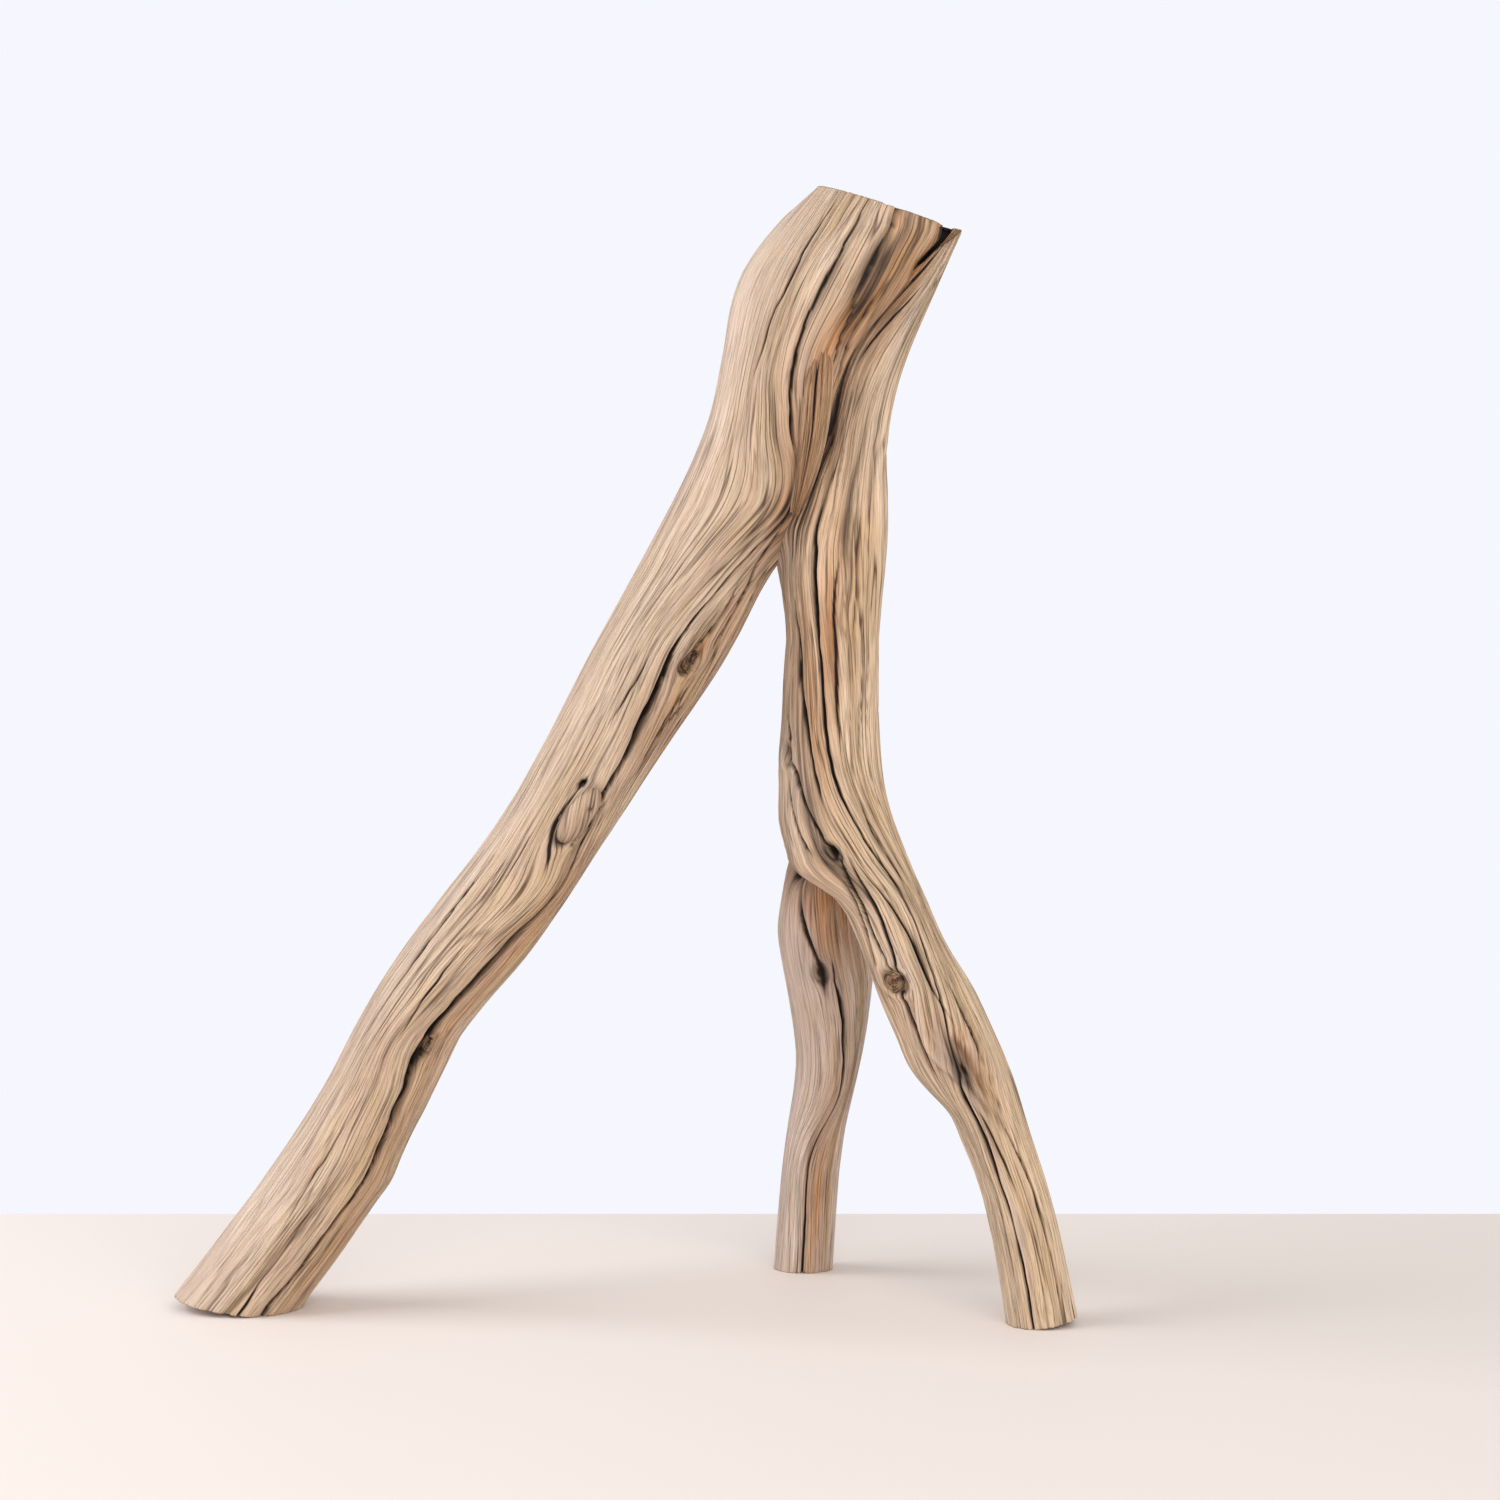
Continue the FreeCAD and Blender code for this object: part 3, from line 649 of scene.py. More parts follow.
def grow_collars(skin):
    """Raises each knot's collar, sinks its groove and middle, and bends the grain round it."""
    for height, middle, wide, tall, proud, groove in skin.limb.knots:
        across = skin.across(middle)
        down = skin.down(height)
        edge = np.hypot(across / wide, down / tall)
        lower_left = (across / wide - down / tall) / np.maximum(edge, 0.2)
        ditch = groove * bump(edge - GROOVE, 0.19) * (0.65 + 0.35 * np.clip(lower_left, -1, 1))
        skin.rise += proud * bump(edge - COLLAR, 0.42) - ditch - SUNKEN * np.exp(-(edge / 0.9) ** 6)
        skin.rise += 0.14 * np.sin(edge * RIPPLES) * bump(edge, 2.2)
        # painted shade in the collar's groove, darkest where the groove is deepest
        skin.dark += np.clip(ditch * 0.9, 0, 0.9)
        flow = 1.0 / (edge ** 2 + 0.6) * bump(edge, 3.2)
        skin.spread = skin.spread - np.degrees(across * flow / GRAIN_RADIUS)


grow_collars(strip)
print("the strip's rise with its knots:", span(strip.rise), "mm")

# %% [markdown]
# ### Ridged grain
# The soft wood between the fibres has worn away and left ridges, with short splits in the valleys
# and fine nicks.  Straight ridges look combed, so the grain sways first.  Each layer is noise at
# its own scale, and a thin line is drawn wherever a layer crosses zero.

# %% Sway
SWAY = 2.6                  # degrees that the grain sways as it climbs


def sway_grain(skin):
    """Lets the grain sway, then lays it on its round."""
    seed = skin.limb.seed
    sway = noise(skin.grain / 34.0, skin.length / 26.0, 0.5, seed + 10)
    sway = sway + 0.5 * noise(skin.grain / 15.0, skin.length / 11.0, 0.5, seed + 11)
    skin.spread = skin.spread + SWAY * skin.limb.rough * sway
    skin.u = GRAIN_RADIUS * np.cos(np.radians(skin.spread))
    skin.v = GRAIN_RADIUS * np.sin(np.radians(skin.spread))


sway_grain(strip)
print("the grain strays by up to", np.abs(strip.spread - strip.grain).max().round(1), "degrees")

# %% Ridges
WAVES = (7.0, 60.0, 0)      # each layer: millimetres across the grain, along it, and its number
BROAD_RIDGES = (2.6, 42.0, 1)
FINE_RIDGES = (1.3, 26.0, 2)
SPLITS = (2.4, 48.0, 3)
SPLIT_ZONES = (6.0, 26.0, 4)
NICKS = (1.1, 22.0, 12)
NICK_ZONES = (3.0, 12.0, 13)


def raise_ridges(skin):
    """Ridges at three scales, with splits and nicks between them."""
    wave = skin.fibres(*WAVES)
    skin.broad = skin.fibres(*BROAD_RIDGES)
    skin.fine = skin.fibres(*FINE_RIDGES)
    split_zone = np.clip(skin.fibres(*SPLIT_ZONES) * 2.2 + 0.35, 0, 1)
    nick_zone = np.clip(skin.fibres(*NICK_ZONES) * 3.0 - 0.1, 0, 1)
    valley = bump(skin.fibres(*SPLITS), 0.07) * split_zone
    nick = bump(skin.fibres(*NICKS), 0.10) * nick_zone
    ridged = 0.32 * skin.broad + 0.20 * skin.fine - 0.50 * valley - 0.16 * nick
    skin.rise += 0.35 * wave + skin.rough * ridged
    # painted shade in the splits, the nicks and the low ground between broad ridges
    skin.dark += 0.22 * valley + 0.10 * nick + 0.06 * np.clip(-skin.broad, 0, 1)


raise_ridges(strip)
print("the strip's rise with its ridges:", span(strip.rise), "mm")

# %% [markdown]
# ### Swells and checks
# A swell is a soft bump in height and bearing.  A check is a narrow throat with softly sunken
# shoulders, with shade painted in where it's deeper than it's wide, and warm beside it.  A check
# with a negative
# depth is a raised fold instead: wood that has rolled over a wound.


# %% Swells pressed out
def press_swells(skin):
    """Pushes the skin out, or in, at each swell."""
    for height, middle, tall, around, out in skin.limb.swells:
        near = out * bump((skin.z - height) / tall, 1.0)
        skin.rise += near * bump(turned(skin.bearing, middle) / around, 1.0)


press_swells(strip)
print("the strip's rise with its swells:", span(strip.rise), "mm")

# %% Checks opened
NARROWEST = 0.22            # half a check's mouth, in millimetres: finer can't be drawn
SHOULDER = 3.2              # how far the sunken shoulders spread, in half mouths
WALL_DARK = 1.6             # a check this deep gets the darkest painted shade


def open_checks(skin):
    """Opens each check along its course, with a wandering line, a pinched mouth and painted shade
    inside.
    """
    length, seed = skin.length, skin.limb.seed
    for number, turns in enumerate(skin.limb.checks):
        middle, width, depth = along(turns, skin.z)
        wander = 1.6 * noise(length / 9.0, number, 0.5, seed + 5)
        wander = wander + 0.9 * noise(length / 3.5, number, 0.5, seed + 6)
        pinch = 1.0 + 0.35 * noise(length / 7.0, number, 7.5, seed + 7)
        across = skin.across(middle + wander)
        half = np.maximum(width * pinch * 0.5, NARROWEST)
        depth = depth * np.clip(pinch, 0.4, 1.3)
        throat = np.exp(-np.abs(across / half) ** 3)
        skin.rise -= depth * throat + 0.16 * depth * bump(across, half * SHOULDER)
        steep = np.clip(depth / (2 * half) - 0.35, 0.25, 1)
        # painted shade: narrow, deep checks are darkened as the shade inside them would darken them
        shade = np.clip(depth / WALL_DARK, 0, 1) * steep
        skin.dark += shade * np.exp(-np.abs(across / (half * 1.15)) ** 3)
        skin.warm += 0.25 * np.clip(depth / 4, 0, 1) * bump(across, half * 5)


open_checks(strip)
print("the strip's rise with its checks:", span(strip.rise), "mm")

# %% [markdown]
# ### Cups and stains
# A hollow's edge is ragged, because rot eats along the fibres, so noise is added to the distance
# from its middle.  A patch's edge is moved by noise in the same way, and its stain gathers in the
# low grain.  Even edges would be simpler, but they look painted on.


# %% Hollows and patches
def sink_hollows(skin):
    """Sinks a ragged cup at each hollow, with warm walls and painted shade in the cup."""
    for height, middle, reach, tall, depth, warmth, shade in skin.limb.hollows:
        away = np.hypot(skin.across(middle) / reach, skin.down(height) / tall)
        away = away + 0.25 * skin.fibres(2.0, 4.0, 8)
        cup = np.exp(-np.abs(away) ** 3)
        skin.rise -= depth * cup
        # painted shade in the cup
        skin.dark += shade * cup * np.clip(0.75 + 0.9 * skin.fine, 0, 1)
        skin.warm += warmth * bump(away, 1.3)


def tint_patches(skin):
    """Warms, greys and darkens each patch: real stains, and painted shade in the two crown patches.
    """
    for height, middle, tall, around, warmth, greyness, stain in skin.limb.patches:
        edge = 1.0 + 0.5 * skin.fibres(4.0, 30.0, 9)
        share = bump((skin.z - height) / tall, edge)
        share = share * bump(turned(skin.bearing, middle) / around, edge)
        skin.warm += warmth * share
        skin.grey += greyness * share
        skin.dark += stain * share * np.clip(0.55 + 1.3 * skin.fine - 0.5 * skin.broad, 0, 1)


sink_hollows(strip)
tint_patches(strip)
print("the strip's warmth:", span(strip.warm))

# %% [markdown]
# ### Painted shade and highlight
# Shade is painted into the furrows and light onto the crests.  Blender can bake that as occlusion,
# but
# the grid makes it easy: each point is compared with the mean of its neighbours round the limb.

# %% Painted shade and highlight
REACH = 7                   # columns either side that a point is compared with
FURROW = 0.6                # a furrow this deep gets the darkest painted shade


def shade_furrows_light_crests(skin):
    """Painted shade for each point that lies below its neighbours, and painted highlight in the
    grey tone for each above them.
    """
    shifts = range(-REACH, REACH + 1)
    around = sum(np.roll(skin.rise, k, axis=1) for k in shifts) / (2 * REACH + 1)
    sunk = (around - skin.rise) / FURROW
    # painted shade in the furrows, then painted highlight on the crests
    skin.dark += 0.34 * np.clip(sunk, 0, 1)
    skin.grey += 0.40 * np.clip(-sunk, 0, 1)


STEPS = (light_and_wear_side, grow_collars, sway_grain, raise_ridges, press_swells, open_checks,
         sink_hollows, tint_patches, shade_furrows_light_crests)
print("steps that make a skin:", len(STEPS))

# %% [markdown]
# ### The grid
# The columns follow the limb's longest check near it and run plainly elsewhere, and they crowd
# together in front, where the shape is finest.  Even columns would need far more faces.  Where a
# column ends depends on the saw plane under it, and that place moves as the column is lengthened,
# so the ends are found by going round a few times.

# %% Grid along the grain
LEFT_GRID = (350, 256)      # rows up the limb and columns round it
RIGHT_GRID = (350, 240)
REAR_GRID = (150, 200)
CROWDING = 38.0             # degrees that the columns are drawn towards the front
FRONT = 90.0
ANCHOR_HEIGHT = 150.0       # the grain's own bearings are read at this height
FOLLOWS = 55.0              # degrees either side of the long check that follow it
FIRST_HEIGHT = 300.0
ROUNDS = 25


def grain_grid(limb, top, bottom, rows, columns):
    """Heights, bearings and grain of a grid between two saw planes, and each row's share."""
    share = np.linspace(0.0, 1.0, rows)[:, None]
    grain = 360.0 * np.linspace(0.0, 1.0, columns, endpoint=False) - 90.0
    grain = grain - CROWDING * np.sin(np.radians(grain - FRONT))
    grain = np.broadcast_to(grain, (rows, columns))
    anchor = float(along(limb.line, np.array([ANCHOR_HEIGHT]))[0][0])
    follows = bump(turned(grain, anchor), FOLLOWS)
    low = np.zeros(columns)
    high = np.full(columns, FIRST_HEIGHT)
    for _ in range(ROUNDS):
        z = low + (high - low) * share
        bearing = grain + (along(limb.line, z)[0] - anchor) * follows
        edge = limb.place(z, bearing)
        low = bottom(edge[0])
        high = top(edge[-1])
    return z, bearing, grain, share


print("points in the left limb's grid:", LEFT_GRID[0] * LEFT_GRID[1])

# %% [markdown]
# ### Seams
# Where two limbs meet, a valley runs down between them with shade painted along it, softened higher
# up by wood that grew across.  A boolean union would melt the limbs into one, and the table of
# pieces needs them apart.
# So each skin reads how far its points lie outside the neighbour and draws back a little there.

# %% Seams
SEAM_REACH = 1.4            # how far the valley between two limbs spreads
SEAM_DEPTH = 0.9
GROWN_REACH = 4.0           # how near the neighbour wood has grown across
CROTCH = 272.0              # no wood has grown across about this height
CROTCH_SPAN = 26.0
WEB_HEIGHT = 240.0          # a web of wood fills the crotch here, so the seam closes
WEB_SPAN = 9.0


def press_seam(skin, other, fillet, shade, ends):
    """Draws the skin back beside a neighbour, lets it grow towards it and paints shade along the
    line.
    """
    points, z = skin.points, skin.z
    gap = other.outside(points)
    grown = fillet * bump(gap, GROWN_REACH) * (1 - bump((z - CROTCH) / CROTCH_SPAN, 1.0))
    valley = bump(gap, SEAM_REACH) * (ends > 0)
    x, y, _ = skin.limb.pith(z)
    inward = np.stack([x - points[..., 0], y - points[..., 1], 0 * z], axis=-1)
    inward /= np.linalg.norm(inward, axis=-1, keepdims=True)
    webbed = 1 - 0.9 * bump((z - WEB_HEIGHT) / WEB_SPAN, 1.0)
    points = points + inward * (SEAM_DEPTH * valley * webbed - grown)[..., None]
    ragged = 0.5 * noise(z / 2.2, points[..., 0] / 1.2, 0.5, skin.limb.seed + 14)
    line = 0.8 * np.clip(0.30 - gap / 0.6 + ragged, 0, 1)
    # painted shade along the seam between the two limbs
    skin.dark += shade * (line + 0.16 * bump(np.maximum(gap, 0), 1.6))
    skin.warm += 0.45 * bump(np.maximum(gap, 0), 4.5)
    skin.points = points


print("the seam's valley is", SEAM_DEPTH, "mm deep")

# %% [markdown]
# ### The whole skin
# The steps run in order, then the seams, and then whatever is carved out of this limb alone.  At
# last both ends are drawn to their saw planes.  Cutting them would be exact too, but it would leave
# ragged rows that no cap could be joined to.

# %% Whole skin
TRIM = 0.03                 # the share of a limb's rows over which its end is drawn to the saw


def grow_skin(limb, top, bottom, rows, columns, neighbours=(), carve=None):
    """Grid points in millimetres and their attributes, between two saw planes."""
    z, bearing, grain, share = grain_grid(limb, top, bottom, rows, columns)
    skin = Skin(limb, z, bearing, grain)
    for step in STEPS:
        step(skin)
    skin.points = limb.place(z, bearing, skin.rise)
    for other, fillet, shade in neighbours:
        press_seam(skin, other, fillet, shade, np.minimum(share, 1 - share))
    if carve is not None:
        carve(skin)
    marks = {
        "grain": np.stack([skin.u, skin.v, skin.length], axis=-1),
        "dark": np.clip(skin.dark, 0, 1),
        "warm": np.clip(skin.warm, 0, 1.5),
        "grey": np.clip(skin.grey, 0, 1),
        "cut": np.zeros(z.shape),
    }
    points = skin.points
    for row, plane, near in ((0, bottom, 1 - share), (-1, top, share)):
        off = plane(points[row]) - points[row][:, 2]
        points[..., 2] += off * np.clip((near - (1 - TRIM)) / TRIM, 0, 1)
    return points, marks


print("a skin's end is drawn to its saw plane over", TRIM, "of its rows")

# %% [markdown]
# ## Saw cuts
# The crown and the feet were sawn.  A boolean with a box would cut the skin's grid open, so the
# skin is drawn to each saw plane instead.  The crown's plane is read from its mount, and the left
# and front soles lift by eight degrees towards the toe.

# %% Saw planes
mounts = {m["name"]: m for m in frame["record"]["mounts"]}
crown_point = np.array(mounts["crown_face"]["pos_m"]) / MM
crown_lean = np.array(mounts["crown_face"]["axis"])
TOE_LIFT = math.tan(math.radians(8.0))
LEFT_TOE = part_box("left_limb")[0][0] / MM + 25.5
FRONT_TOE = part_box("right_limb")[1][0] / MM - 13.0
ARRIS = 0.35                # how far the saw's edge has worn down


def crown_plane(edge):
    """The crown's height over each point of an edge, less the worn arris."""
    slope = crown_lean[0] / crown_lean[2]
    return crown_point[2] - (edge[:, 0] - crown_point[0]) * slope - ARRIS


def left_sole(edge):
    """The left foot's sole under each point: level, then lifting towards the toe."""
    return np.maximum(0.0, (LEFT_TOE - edge[:, 0]) * TOE_LIFT) + ARRIS


def front_sole(edge):
    """The front foot's sole under each point."""
    return np.maximum(0.0, (edge[:, 0] - FRONT_TOE) * TOE_LIFT) + ARRIS


def level_plane(height):
    """A plane that is level all over."""
    return lambda edge: np.full(len(edge), height)


print("crown leans", round(math.degrees(math.atan2(crown_lean[0], crown_lean[2])), 1), "degrees")

# %% [markdown]
# ## End grain
# A saw cut shows growth rings and shallow radial checks.  One big face could close the end, but
# nothing could be pressed into it.  So rings of points shrink from the skin's last row to the pith,
# all on the saw plane, with the checks pressed in.

# %% Cap
CAP_RINGS = (0.985, 0.95, 0.88, 0.78, 0.66, 0.54, 0.42, 0.3, 0.18, 0.08)
RADIAL_CHECK = 0.5          # millimetres deep
SAW_MARKS = 0.12


def full_turn(count):
    """Angles round a ring of points."""
    return np.linspace(0, 2 * math.pi, count, endpoint=False)


def cap(points, marks, row, plane, outward, seed, sunk=None):
    """Rings of points from a skin's end row to its middle on a saw plane, and their attributes."""
    edge = points[row]
    centre = edge.mean(axis=0)
    turn = full_turn(len(edge))
    rings, grains, darks = [], [], []
    for share in CAP_RINGS:
        ring = centre + (edge - centre) * share
        split = noise(3.2 * np.cos(turn) + 9, 3.2 * np.sin(turn) + 9, share * 0.8, seed)
        wiggle = bump(split, 0.07) * min(1.0, share * 2.5)
        pressed = RADIAL_CHECK * wiggle
        if share < 0.97:
            sawn = noise(ring[:, 0] / 0.9, ring[:, 1] / 3.0, 0.5, seed + 1)
            pressed = pressed + SAW_MARKS * np.abs(sawn)
        ring[:, 2] = plane(ring) + outward * (ARRIS - pressed)
        if sunk is not None:
            ring[:, 2] -= outward * sunk(ring)
        grain = marks["grain"][row].copy()
        grain[:, :2] *= share
        rings.append(ring)
        grains.append(grain)
        # painted shade in the radial checks
        darks.append(0.5 * wiggle)
    return np.array(rings), np.array(grains), np.array(darks), centre


print("rings on a saw cut:", len(CAP_RINGS))

# %% [markdown]
# ## From grid to mesh
# Each piece is a stack of rings, from bottom to top, with a point in the middle of each end.  A
# lofted curve could make the same surface, but not with a value of its own on every point.  The
# mesh is closed, so light can't leak into it.


# %% Mesh
def stack_faces(levels, count):
    """Quads between the rings of a stack, and triangles that close its two ends."""
    low = levels * count
    last = low - count
    faces = []
    for first in range(0, last, count):
        for j in range(count):
            k = (j + 1) % count
            above = first + count
            faces.append((first + j, above + j, above + k, first + k))
    for j in range(count):
        k = (j + 1) % count
        faces.append((low, j, k))
        faces.append((low + 1, last + k, last + j))
    return faces


def piece_from_rings(name, rings, marks, centres):
    """A closed mesh through rings from bottom to top, with a point to close each end."""
    places = np.concatenate([rings.reshape(-1, 3), centres]) * MM
    mesh = bpy.data.meshes.new(name)
    mesh.from_pydata(places.tolist(), [], stack_faces(*rings.shape[:2]))
    mesh.polygons.foreach_set("use_smooth", [True] * len(mesh.polygons))
    for label, values in marks.items():
        wide = values.ndim == 3
        ends = [values[0].mean(axis=0), values[-1].mean(axis=0)]
        rows = values.reshape(-1, 3) if wide else values.ravel()
        layer = mesh.attributes.new(label, "FLOAT_VECTOR" if wide else "FLOAT", "POINT")
        layer.data.foreach_set("vector" if wide else "value", np.concatenate([rows, ends]).ravel())
    mesh.validate()
    mesh.update()
    piece = bpy.data.objects.new(name, mesh)
    bpy.context.scene.collection.objects.link(piece)
    print(name, len(mesh.polygons), "faces")
    return piece


print("a stack of 3 rings of 4 points has", len(stack_faces(3, 4)), "faces")

# %% [markdown]
# ## A sawn limb
# The skin and its two caps share their rings of points, so they are joined into one stack.  Three
# separate meshes would show a line at each arris, where their shading breaks.

# %% Sawn limb
CAP_TINT = 0.15             # how warm and how grey end grain is
PITH_SUNK = 0.2


def sawn_limb(name, limb, planes, grid, neighbours=(), carve=None, sunk=None):
    """A limb's skin with a sawn cap at each end, as one closed piece."""
    top, bottom = planes
    points, marks = grow_skin(limb, top, bottom, *grid, neighbours, carve)
    low = cap(points, marks, 0, bottom, -1, limb.seed + 20)
    high = cap(points, marks, -1, top, 1, limb.seed + 21, sunk)
    plain = np.zeros(low[2].shape)
    tint = plain + CAP_TINT
    joined = {
        "grain": np.concatenate([low[1][::-1], marks["grain"], high[1]]),
        "dark": np.concatenate([low[2][::-1], marks["dark"], high[2]]),
        "cut": np.concatenate([plain + 1, marks["cut"], plain + 1]),
        "warm": np.concatenate([tint, marks["warm"], tint]),
        "grey": np.concatenate([tint, marks["grey"], tint]),
    }
    centres = [low[3].copy(), high[3].copy()]
    for centre, plane, outward in ((centres[0], bottom, -1), (centres[1], top, 1)):
        centre[2] = plane(centre[None, :])[0] + outward * (ARRIS - PITH_SUNK)
    rings = np.concatenate([low[0][::-1], points, high[0]])
    return piece_from_rings(name, rings, joined, centres)


print("a limb is closed by", 2 * len(CAP_RINGS), "cap rings")

# %% [markdown]
# ## The gape at the crown
# Below the crown the seam between the two big limbs gapes, and its walls are ragged.  Cutting a
# wedge from both would leave clean walls.  So each skin draws back to its own ragged wall of a
# wedge that is wide in front and closes to a line at the back.  Each turn of its course gives the
# height, the middle's x, the width at the mouth and the y where it closes.

# %% Gape
GAPE = [(352, 112, 4.0, -6), (338, 106, 4.0, -6), (327, 99.5, 3.8, -6), (322, 96, 2.2, -8),
        (317, 91, 2.0, -11), (312, 86, 1.4, -12.6), (307, 81.5, 0.6, -13.5)]
GAPE_TOP = 316.0            # the gape is fully open above this height
GAPE_FADE = 6.0
GAPE_FRONT = -17.0
DEEP_FROM = -13.0           # further back than this, the gape's walls get more painted shade and less warmth
DEEP_SPAN = 8.0


def gape_wall(side):
    """A carver that draws a skin back to the gape's wall: side is -1 for left and 1 for right."""
    def carve(skin):
        x, y, z = [skin.points[..., k] for k in range(3)]
        middle, width, back = along(GAPE, z)
        opening = np.clip((back - y) / (back - GAPE_FRONT), 0, 1.2)
        rough = 0.5 * noise(y / 2.5, z / 5.0, 0.5, 60 + side)
        rough = rough + 0.3 * noise(y / 0.9, z / 2.0, 0.5, 62 + side)
        wall = middle + side * (width / 2 * opening + rough * opening)
        over = (wall - x) * side
        amount = np.clip((z - GAPE_TOP + GAPE_FADE) / GAPE_FADE, 0, 1) * (opening > 0)
        push = np.where(over > 0, over, 0.0) * amount
        shade = np.clip(push / 2.5, 0, 1)
        deep = np.clip((y - DEEP_FROM) / DEEP_SPAN, 0, 1)
        skin.points = np.stack([x + side * push, y, z], axis=-1)
        # painted shade on the gape's walls, more of it further back
        skin.dark += shade * (0.10 + 0.55 * deep)
        skin.warm += shade * (1.2 - 0.5 * deep)
    return carve


print("gape is", GAPE[1][2], "mm wide at its mouth")

# %% [markdown]
# ## Growing the limbs
# Each limb is skinned between its own two saw planes, knowing its neighbours.  The two big limbs
# press on each other, and the rear limb's root ends inside the right limb, where no saw went.  The
# left crown is sunk a little where the right one covers it, so that the two faces don't flicker.

# %% Grow the limbs
REAR_ROOT = 146.0
FILLET = 2.4                # how far wood has grown across between the two big limbs


def under_right(ring):
    """How far the left crown is sunk where the right limb's crown covers it."""
    return np.clip(-right.outside(ring) / 1.5, 0, 1)


left_skin = sawn_limb("left_limb_wood", left, (crown_plane, left_sole), LEFT_GRID,
                      [(right, FILLET, 1.0)], gape_wall(-1), under_right)
right_skin = sawn_limb("right_limb_wood", right, (crown_plane, front_sole), RIGHT_GRID,
                       [(left, FILLET, 1.0), (rear, 0.0, 1.0)], gape_wall(1))
rear_skin = sawn_limb("rear_limb_wood", rear, (level_plane(REAR_ROOT), level_plane(ARRIS)),
                      REAR_GRID, [(right, 0.0, 0.45)])

# %% [markdown]
# ## The tongue
# A sliver of pinkish wood is caught in the seam below the crown.  It's wood too, so it is a small
# limb: measured off its solid, skinned and capped with the same functions.  A twisted box would be
# quicker, but its grain wouldn't match.

# %% Tongue
tongue_low, tongue_high = [np.array(corner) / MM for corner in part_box("seam_tongue")]
TONGUE_GRID = (90, 140)
TONGUE_LINE = [(320, 88, 0.5, 0.6), (280, 92, 0.9, 1.2), (262, 86, 0.7, 0.9), (230, 96, 0.4, 0)]
TONGUE_CHECKS = [
    TONGUE_LINE,
    [(296, 70, 0.3, 0), (284, 74, 0.6, 0.8), (268, 64, 0.3, 0)],
    [(276, 112, 0.3, 0), (262, 108, 0.6, 0.7), (248, 104, 0.3, 0)],
]
TONGUE_PATCHES = [(270, 92, 40, 60, 0.5, 0, 0)]
TIP_BEND = 4.0              # how far the tip bends back, so that its end hides in the seam
TIP_REACH = 16.0
tongue_rows = measured("seam_tongue", [], tongue_low[2] + 1.5, tongue_high[2] - 1.0, 1.0)
tongue_rows[:, 2] += TIP_BEND * bump(tongue_rows[:, 0] - tongue_high[2], TIP_REACH)
tongue = Limb(tongue_rows, 1.0, TONGUE_LINE, TONGUE_CHECKS, [], [], TONGUE_PATCHES, [],
              rough=1.6, seed=400)
tongue_ends = (level_plane(tongue_high[2]), level_plane(tongue_low[2]))
tongue_skin = sawn_limb("seam_tongue_wood", tongue, tongue_ends, TONGUE_GRID,
                        [(left, 0.0, 0.0), (right, 0.0, 0.5)])

# %% [markdown]
# ## Twig ends
# Three small knots show the end of a twig: a peg that tapers inwards, with rings and a crack on its
# face.  Each is seated where its solid is, and turned to face straight out of the limb, because a
# knot that is only moved to its place would point the wrong way.


# %% Seat
def seat(limb, node):
    """Where a knot's node sits on a limb: its middle, the skin above it and its directions."""
    middle = sum(np.array(corner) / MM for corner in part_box(node)) / 2
    height = middle[2]
    x, y, _ = [float(v) for v in limb.pith(height)]
    bearing = math.degrees(math.atan2(-(middle[1] - y) / limb.flatness, middle[0] - x))
    point = limb.place(np.array([height]), bearing)[0]
    above = limb.place(np.array([height + 2]), bearing)[0]
    grain = (above - point) / np.linalg.norm(above - point)
    out = point - np.array([x, y, height])
    out -= grain * out.dot(grain)
    out /= np.linalg.norm(out)
    return middle, point, out, np.cross(out, grain), grain


def small_piece(name, rings, grains, darks, warm, grey):
    """A small piece from its rings, with one warmth and one greyness all over."""
    rings = np.array(rings)
    darks = np.clip(np.array(darks), 0, 1)
    even = 0 * darks
    marks = {"grain": np.array(grains), "dark": darks,
             "warm": even + warm, "grey": even + grey, "cut": even}
    return piece_from_rings(name, rings, marks, [rings[0].mean(axis=0), rings[-1].mean(axis=0)])


print("the swirl knot's middle is at", seat(left, "swirl_knot")[0].round(1), "mm")

# %% Twig ends
PEG_POINTS = 72             # points round a peg
FACE_RINGS = 26
GROWTH = 22                 # how closely a face's growth rings stand


def twig_end(name, node, limb, across, tall, face, deep, stain, seed):
    """A peg with a ringed, cracked face that stands face millimetres out of the limb's round."""
    _, point, out, side, grain = seat(limb, node)
    turn = full_turn(PEG_POINTS)
    sideways, upward = np.cos(turn), np.sin(turn)
    rings, grains, darks = [], [], []
    stages = [(0.62, -deep), (0.8, -deep * 0.5), (0.95, face - 0.6), (1.0, face - 0.15)]
    stages += [(s, face) for s in np.linspace(0.95, 0.04, FACE_RINGS)]
    for share, rise in stages:
        lump = share * (1 + 0.07 * noise(2 * sideways, 2 * upward, 0.5, seed))
        ring = point + np.outer(across * lump * sideways, side)
        ring = ring + np.outer(tall * lump * upward, grain)
        split = noise(1.5 * sideways, 1.5 * upward, share, seed + 1)
        crack = bump(split, 0.12) * min(1, share * 3)
        growth = math.sin(share * GROWTH)
        ripple = 0.16 * growth - 0.4 * crack - 0.9 * bump(share, 0.22)
        height = rise + (ripple if rise == face else 0.0)
        rings.append(ring + np.multiply.outer(np.broadcast_to(height, turn.shape), out))
        grained = [6 * share * sideways, 6 * share * upward, 0 * turn + rise]
        grains.append(np.column_stack(grained))
        # painted shade in the crack and the sunken middle; the rings, the rim and the stain are the
        # knot's own dark
        dark = 0.55 * crack + 0.5 * bump(share, 0.25) + 0.3 * max(0.0, -growth)
        darks.append(dark + 0.35 * (share > 0.93) + stain)
    return small_piece(name, rings, grains, darks, 0.7, 0.0)


